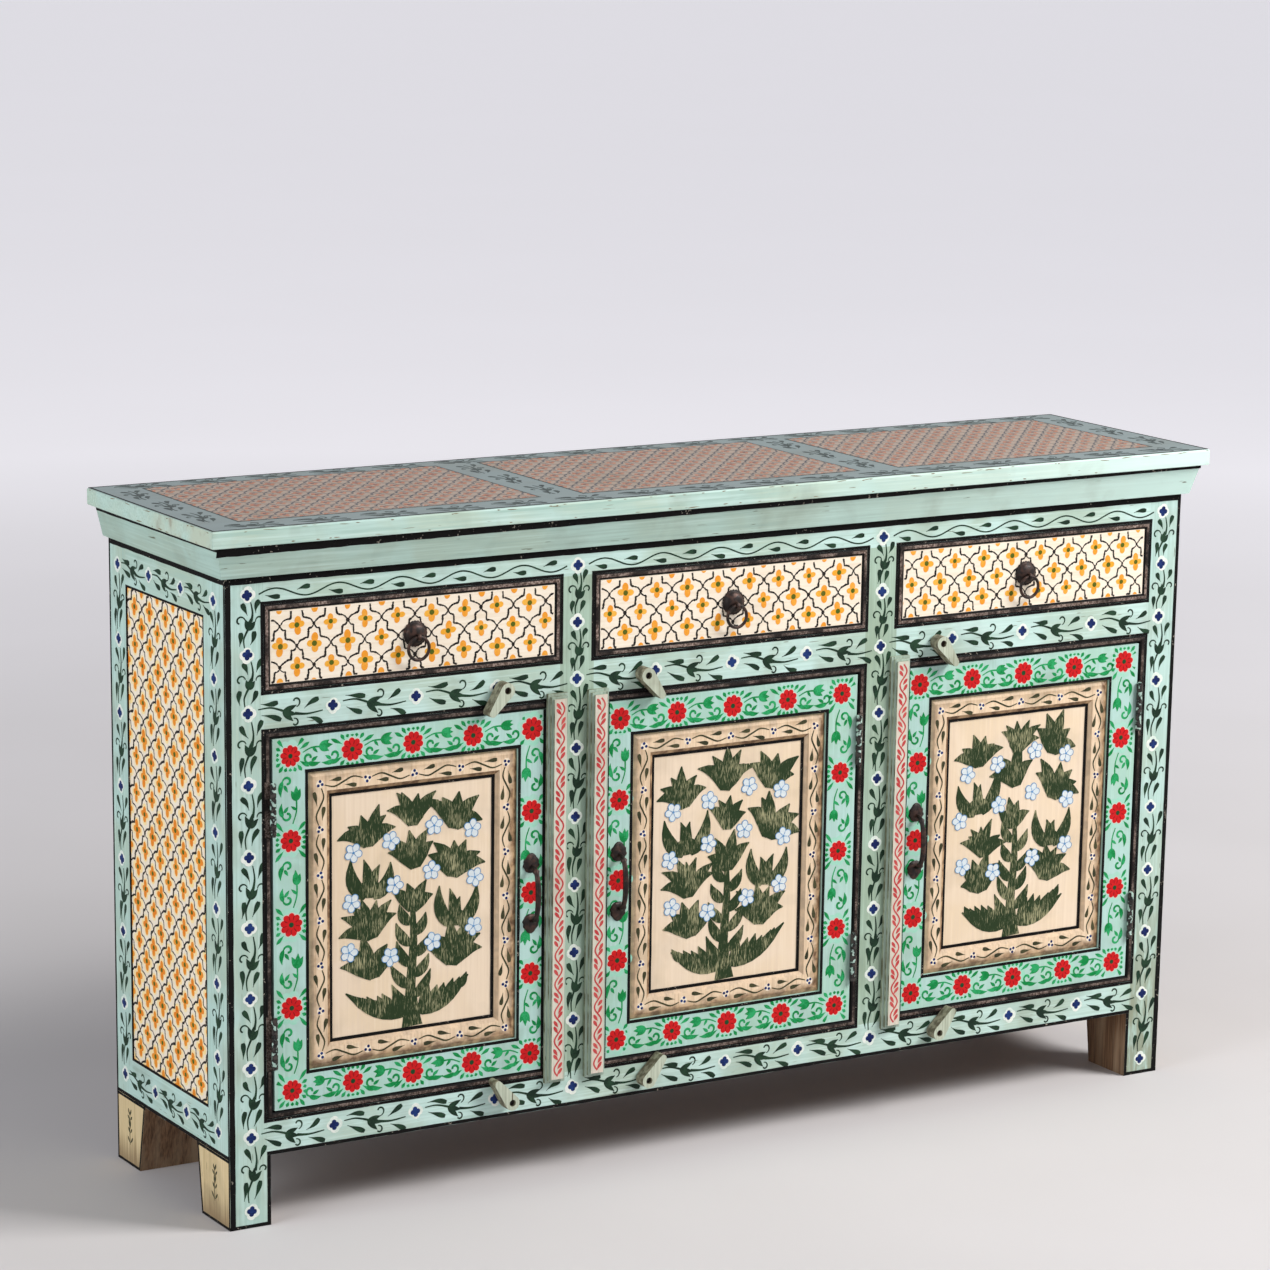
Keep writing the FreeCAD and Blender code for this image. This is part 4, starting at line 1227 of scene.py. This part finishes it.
def paint_cornice():
    """Black line along the top of the sloping cornice, on its three sides."""
    ways = {"cornice_front": (1, 0, 0), "cornice_left": (0, -1, 0), "cornice_right": (0, 1, 0)}
    low, high = node_box("cornice_right")
    feet = {}
    for node, across in ways.items():
        outward = Vector(across).cross((0, 0, 1))
        points = node_points(node)
        feet[node] = max(point.dot(outward) for point in points if point.z < low.z + 1)
        overhang = max(point.dot(outward) for point in points) - feet[node]
    ends = {"cornice_front": (-feet["cornice_left"], feet["cornice_right"]),
            "cornice_left": (-back, feet["cornice_front"]),
            "cornice_right": (-feet["cornice_front"], back)}
    for node, across in ways.items():
        outward = Vector(across).cross((0, 0, 1))
        slope = outward * overhang + Vector((0, 0, high.z - low.z))
        foot = outward * feet[node] + Vector((0, 0, low.z))
        face = Surface(node + "_line", "carcass", "painted_bead", foot, across, slope.normalized())
        points = []
        for end, width in zip(ends[node], SLAB_LINES[node]):
            level = slope.length - width / 2
            mitre = overhang * level / slope.length + SLAB_MITRE
            points.append((end if abs(end) == back else end + math.copysign(mitre, end), level))
        face.bar(*points, SLAB_LINES[node][0], end_width=SLAB_LINES[node][1])
        face.build()


def wear_slab():
    """Chipped paint along the slab's edges."""
    wide, deep, tall = slab_high - slab_low
    low = slab_low.z
    for name, origin, across, length in (("front", (slab_low.x, slab_low.y, low), (1, 0, 0), wide),
                                         ("left", (slab_low.x, slab_high.y, low), (0, -1, 0), deep),
                                         ("right", (slab_high.x, slab_low.y, low), (0, 1, 0), deep)):
        face = Surface("slab_" + name, "carcass", "painted_top", origin, across, (0, 0, 1))
        face.limits = (2, 1, length - 2, tall - 1)
        for level, count in ((tall - 2.5, length / 34), (2.5, length / 60)):
            face.chips((0, level), (length, level), round(count))
        face.build()


def top_vine(face, start, end):
    for place, after in stretches(start, end, max(1, round(math.dist(start, end) / TOP_VINE_LENGTH))):
        vine_unit(Run(face, place, after), TOP_SPREAD, "top_leaf")


def paint_top():
    face = Surface("top", "carcass", "painted_top", **TOP)
    u0 = slab_low.x + TOP_BORDER_END
    u1 = slab_high.x - TOP_BORDER_END
    v0 = slab_low.y + TOP_BORDER_FRONT
    v1 = slab_high.y - TOP_BORDER_BACK
    wide = (u1 - u0 - 2 * TOP_CROSS_BAR) / 3
    for panel in BAYS:
        start = u0 + panel * (wide + TOP_CROSS_BAR)
        area = (start, v0, start + wide, v1)
        face.patch("top_ground", corners(area), 1)
        cells = Surface("top_lattice_" + NUMBERS[panel], "carcass", "painted_top", **TOP)
        lattice(cells, area, SLAB_LATTICE, 2)
        cells.build()
        face.frame_lines(grown(area, TOP_PANEL_GAP), TOP_PANEL_LINE, paint="top_leaf")
        if panel:
            u = start - TOP_CROSS_BAR / 2
            top_vine(face, (u, v0), (u, v1))
    for v in ((slab_low.y + v0) / 2, (slab_high.y + v1) / 2):
        top_vine(face, (slab_low.x + TOP_VINE_INSET, v), (slab_high.x - TOP_VINE_INSET, v))
    for u in ((slab_low.x + u0) / 2, (slab_high.x + u1) / 2):
        top_vine(face, (u, v0), (u, v1))
    edges = (slab_low.x, slab_low.y, slab_high.x, slab_high.y)
    face.frame_lines(grown(edges, -TOP_EDGE_INSET), TOP_EDGE_LINE)
    face.build()


# Painted faces of the doors and drawers

def paint_door(body):
    """Red flowers round the frame, and the paint of the moulding, the field and the cover strip."""
    leaf_low, leaf_high = node_box(body + "_frame")
    opening_low, opening_high = node_box(body + "_moulding")
    strip_low, strip_high = node_box(body + "_cover_strip")
    face = front_surface(body + "_paint", body, "painted_door", leaf_low.y)
    strip_first = strip_low.x < leaf_low.x
    u0 = strip_high.x if strip_first else leaf_low.x
    u1 = leaf_high.x if strip_first else strip_low.x
    first = (u0 + opening_low.x) / 2
    last = (opening_high.x + u1) / 2
    low = (leaf_low.z + opening_low.z) / 2
    high = (opening_high.z + leaf_high.z) / 2
    clockwise = corners((first, low, last, high))[::-1]
    rooms = (first - u0, leaf_high.z - high, u1 - last, low - leaf_low.z)
    face.limits = (u0 + 2, leaf_low.z + 1, u1 - 2, leaf_high.z - 1)
    for index, end in enumerate(clockwise):
        for repeat, (place, after) in enumerate(stretches(clockwise[index - 1], end, DOOR_VINES)):
            run = Run(face, place, after, -1 if index == 1 else 1)
            door_unit(run)
            way_back = run.angle + math.pi if repeat else run.angle + math.pi / 2
            red_flower(face, place, (run.angle, way_back), rooms[index] - FIELD_LINE + 1)
    face.limits = None
    beside = u0 + FIELD_LINE / 2 if strip_first else u1 - FIELD_LINE / 2
    face.upright_bar(beside, leaf_low.z, leaf_high.z, FIELD_LINE, 4)
    opening = front_area(opening_low, opening_high)
    face.frame_lines(grown(opening, FIELD_LINE), FIELD_LINE, 4)
    face.build()
    paint_moulding(body, opening, opening_low.y)
    paint_field(body, grown(opening, -MOULDING_WIDTH))
    paint_strip(body, grown(front_area(strip_low, strip_high), -STRIP_STEP), strip_low.y)


def paint_moulding(body, area, depth):
    face = front_surface(body + "_moulding_vine", body, "painted_cream", depth)
    clockwise = corners(grown(area, -MOULDING_CREST))[::-1]
    for start, end, repeats in zip(clockwise, clockwise[1:] + clockwise[:1], MOULDING_VINES):
        moulding_run(face, start, end, repeats)
    face.build()


def paint_field(body, area):
    depth = node_box(body + "_panel")[0].y
    face = front_surface(body + "_field", body, "painted_cream", depth, coat=FIELD_COAT)
    u0, v0, u1, v1 = area
    flowering_plant(face, ((u0 + u1) / 2, (v0 + v1) / 2), u1 - u0, v1 - v0)
    face.frame_lines(area, FIELD_LINE, 4)
    face.build()


def paint_strip(body, area, depth):
    face = front_surface(body + "_strip_vine", body, "painted_strip", depth)
    face.patch("strip_band", corners(area), 1)
    u0, v0, u1, v1 = area
    u = (u0 + u1) / 2
    run = Run(face, (u, v1 - STRIP_VINE_INSET), (u, v0 + STRIP_VINE_INSET))
    waves = round(run.length / STRIP_WAVE)
    half_wave = run.length / waves / 2
    run.wave("strip_red", waves, STRIP_SWING, STRIP_STEM, 3)
    for half in range(waves * 2):
        side = -1 if half % 2 else 1
        for along in (0.05, 0.45):
            run.leaf("strip_red", (half + along) * half_wave, -side * 6.2, side * 0.62, 11, 4.4, coat=3)
    face.build()


def paint_drawer(body):
    low, high = node_box(body + "_front")
    face = front_surface(body + "_paint", body, "painted_ivory", low.y)
    lattice(face, grown(front_area(low, high), -LATTICE_MARGIN), DRAWER_LATTICE)
    face.build()


# Hardware

def loft(rings, closed=False):
    """Points and faces of a closed mesh through matching rings; open ends get caps."""
    count = len(rings[0])
    points = [point for ring in rings for point in ring]
    faces = []
    for index in range(len(rings) if closed else len(rings) - 1):
        here = index * count
        there = (index + 1) % len(rings) * count
        for step in range(count):
            after = (step + 1) % count
            faces.append((here + step, here + after, there + after, there + step))
    if not closed:
        faces.append(list(range(count))[::-1])
        faces.append([len(points) - count + step for step in range(count)])
    return points, faces


def cast_piece(name, lofts, body, node):
    """Iron piece of several closed shapes, which stands for a solid of the frame."""
    vertices = []
    faces = []
    for points, sides in lofts:
        start = len(vertices)
        vertices += [point * MM for point in points]
        faces += [[start + index for index in side] for side in sides]
    piece = add_piece(name, vertices, faces, cast_iron, body, "iron")
    for polygon in piece.data.polygons:
        polygon.use_smooth = True
    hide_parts(node)


def tube_rings(path, radii, side, count=14):
    """Round rings along a flat path; side is the direction across the path's plane."""
    rings = []
    last = len(path) - 1
    for index, (point, radius) in enumerate(zip(path, radii)):
        along = (path[min(index + 1, last)] - path[max(index - 1, 0)]).normalized()
        up = side.cross(along)
        rings.append([point + radius * (side * math.cos(angle) + up * math.sin(angle))
                      for angle in turns(count)])
    return rings


def handle_foot(x, y, inner, tip, width):
    """Domed leaf with a groove down its middle and a notched edge."""
    rings = []
    for share in shares(14):
        q = 0.02 + 0.96 * share
        swell = math.sin(math.pi * q ** 0.8) ** 0.6
        half = width / 2 * swell * (1 + 0.07 * math.sin(7 * math.pi * q))
        ring = []
        for turn in shares(12):
            angle = math.pi * turn
            groove = 1 - 0.28 * math.exp(-(half * math.cos(angle) / 1.4) ** 2)
            rise = FOOT_HEIGHT * swell * math.sin(angle) * groove
            ring.append(Vector((x + half * math.cos(angle), y - 0.1 - rise, inner + (tip - inner) * q)))
        rings.append(ring if tip > inner else ring[::-1])
    return loft(rings)


def build_handle(body):
    """Arch with two beads, on leaf-shaped feet."""
    low, high = node_box(body + "_handle")
    face = node_box(body + "_frame")[0].y
    x = (low.x + high.x) / 2
    middle = (low.z + high.z) / 2
    half = (high.z - low.z) / 2 - FOOT_LENGTH * 2 / 3
    stand = face - low.y - GRIP_THIN - GRIP_SWELL
    path = []
    radii = []
    for q in shares(24):
        swing = math.pi * q
        off = GRIP_SUNK + (stand - GRIP_SUNK) * math.sin(swing) ** 0.62
        path.append(Vector((x, face - off, middle - half * math.cos(swing))))
        collar = COLLAR * math.exp(-((min(q, 1 - q) - 0.17) / 0.022) ** 2)
        radii.append(GRIP_THIN + GRIP_SWELL * math.sin(swing) ** 2 + collar)
    shapes = [loft(tube_rings(path, radii, Vector((1, 0, 0))))]
    for way in (1, -1):
        inner = middle + way * (half - FOOT_LENGTH / 3)
        shapes.append(handle_foot(x, face, inner, inner + way * FOOT_LENGTH, high.x - low.x))
    cast_piece(body + "_cast_handle", shapes, body, body + "_handle")


def build_pull(body):
    """Plate with a milled edge, dome and eye."""
    low, high = node_box(body + "_pull")
    ring_low, ring_high = node_box(body + "_ring")
    middle = Vector(((low.x + high.x) / 2, node_box(body + "_front")[0].y, (low.z + high.z) / 2))
    rings = []
    for radius, height in PULL_PROFILE:
        ring = []
        for angle in turns(RIM_NOTCHES * 4):
            reach = radius * (1 + (0.024 * math.cos(RIM_NOTCHES * angle) if radius > RIM_INSIDE else 0.0))
            ring.append(middle + Vector((reach * math.cos(angle), -height, reach * math.sin(angle))))
        rings.append(ring)
    wire = (ring_high.y - ring_low.y) / 2
    eye = Vector((middle.x, (ring_low.y + ring_high.y) / 2, ring_high.z - wire))
    eye_rings = []
    for turn in turns(20):
        outward = Vector((0, math.cos(turn), math.sin(turn)))
        ring = []
        for angle in turns(10):
            reach = wire + EYE_PLAY + EYE_THICK * math.cos(angle)
            ring.append(eye + reach * outward + Vector((EYE_WIDE * math.sin(angle), 0, 0)))
        eye_rings.append(ring)
    cast_piece(body + "_cast_pull", [loft(rings), loft(eye_rings, closed=True)], body, body + "_pull")


# Worn edges, stage, light and camera

def soften_edges():
    """Slightly rounded arrises on the pieces that are worn."""
    widths = {"top_board": SLAB_ROUND}
    for number in NUMBERS:
        widths["door_" + number + "_cover_strip"] = STRIP_ROUND
        widths["latch_top_" + number] = LATCH_ROUND
        widths["latch_bottom_" + number] = LATCH_ROUND
    for node, width in widths.items():
        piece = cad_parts[node]
        weld = piece.modifiers.new("weld", "WELD")
        weld.merge_threshold = 0.00001
        bevel = piece.modifiers.new("bevel", "BEVEL")
        bevel.width = width * MM
        bevel.segments = 2
        bevel.limit_method = "ANGLE"
        bevel.angle_limit = math.radians(40)


def build_stage():
    """Plain floor; far from the object it shows paler to the camera, as the wall in the photograph does."""
    bpy.ops.mesh.primitive_plane_add(size=FLOOR_SIZE)
    floor = bpy.context.object
    floor.name = "floor"
    shade = Shade("floor")
    cloud = shade.noise(0.8, 3.0)
    colour = shade.mix(shade.ramp(cloud, 0.3, 0.7), *FLOOR_COLOURS)
    distance = shade.add("VectorMath", {0: shade.coords["Object"]}, "Value", operation="LENGTH")
    glow = shade.ramp(distance, *FLOOR_GLOW_REACH, 0.0, FLOOR_GLOW_FAR)
    seen = shade.both(shade.add("LightPath", {}, "Is Camera Ray"), glow)
    shade.feed(shade.nodes["Principled BSDF"], {"Emission Color": FLOOR_GLOW, "Emission Strength": seen})
    floor.data.materials.append(shade.finish(colour, (0.7, 0.8), cloud, 0.0, gloss=0.1))
    floor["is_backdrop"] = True


def add_lamp(name, place, aim, size, power, colour):
    data = bpy.data.lights.new(name, "AREA")
    data.size = size
    data.energy = power
    data.color = colour
    lamp = bpy.data.objects.new(name, data)
    bpy.context.scene.collection.objects.link(lamp)
    lamp.location = place
    lamp.rotation_euler = (Vector(aim) - Vector(place)).to_track_quat("-Z", "Y").to_euler()


def build_light():
    """Soft light; the camera and reflections see the world as pale as the floor."""
    shade = Shade("studio", bpy.data.worlds)
    bpy.context.scene.world = shade.block
    seen = shade.add("LightPath", {}, "Is Camera Ray")
    for kind in ("Is Glossy Ray", "Is Transmission Ray"):
        seen = shade.maths("MAXIMUM", seen, shade.add("LightPath", {}, kind))
    strength = shade.ramp(seen, 0.0, 1.0, SKY_LIGHT, SKY_SEEN)
    shade.feed(shade.nodes["Background"], {"Color": SKY, "Strength": strength})
    add_lamp("key", **KEY_LAMP)
    add_lamp("fill", **FILL_LAMP)


def build_camera():
    data = bpy.data.cameras.new("camera")
    data.sensor_width = SENSOR
    data.lens = SENSOR * CAMERA_FOCUS / PHOTO_SIDE
    data.shift_y = (CAMERA_MIDDLE_ROW - PHOTO_SIDE / 2) / PHOTO_SIDE
    forward = Vector((math.sin(CAMERA_YAW) * math.cos(CAMERA_PITCH),
                      math.cos(CAMERA_YAW) * math.cos(CAMERA_PITCH), -math.sin(CAMERA_PITCH)))
    level = Vector((math.cos(CAMERA_YAW), -math.sin(CAMERA_YAW), 0))
    up = level.cross(forward)
    across = level * math.cos(CAMERA_ROLL) + up * math.sin(CAMERA_ROLL)
    upright = up * math.cos(CAMERA_ROLL) - level * math.sin(CAMERA_ROLL)
    camera = bpy.data.objects.new("camera", data)
    bpy.context.scene.collection.objects.link(camera)
    turn = Matrix((across, upright, -forward)).transposed()
    camera.matrix_world = Matrix.Translation(Vector(CAMERA_PLACE) * MM) @ turn.to_4x4()
    bpy.context.scene.camera = camera


paint_front()
paint_cornice()
paint_top()
wear_slab()
soften_edges()
for word in ("left", "right"):
    paint_side(word)
    for where in ("front", "back"):
        paint_leg(where, word)
for number in NUMBERS:
    paint_door("door_" + number)
    paint_drawer("drawer_" + number)
    build_handle("door_" + number)
    build_pull("drawer_" + number)
build_stage()
build_light()
build_camera()
bpy.context.scene.view_settings.view_transform = "Standard"

boxes = {"cad": cad_bounds, "visual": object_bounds()}
{name: [list(corner) for corner in box] for name, box in boxes.items()}
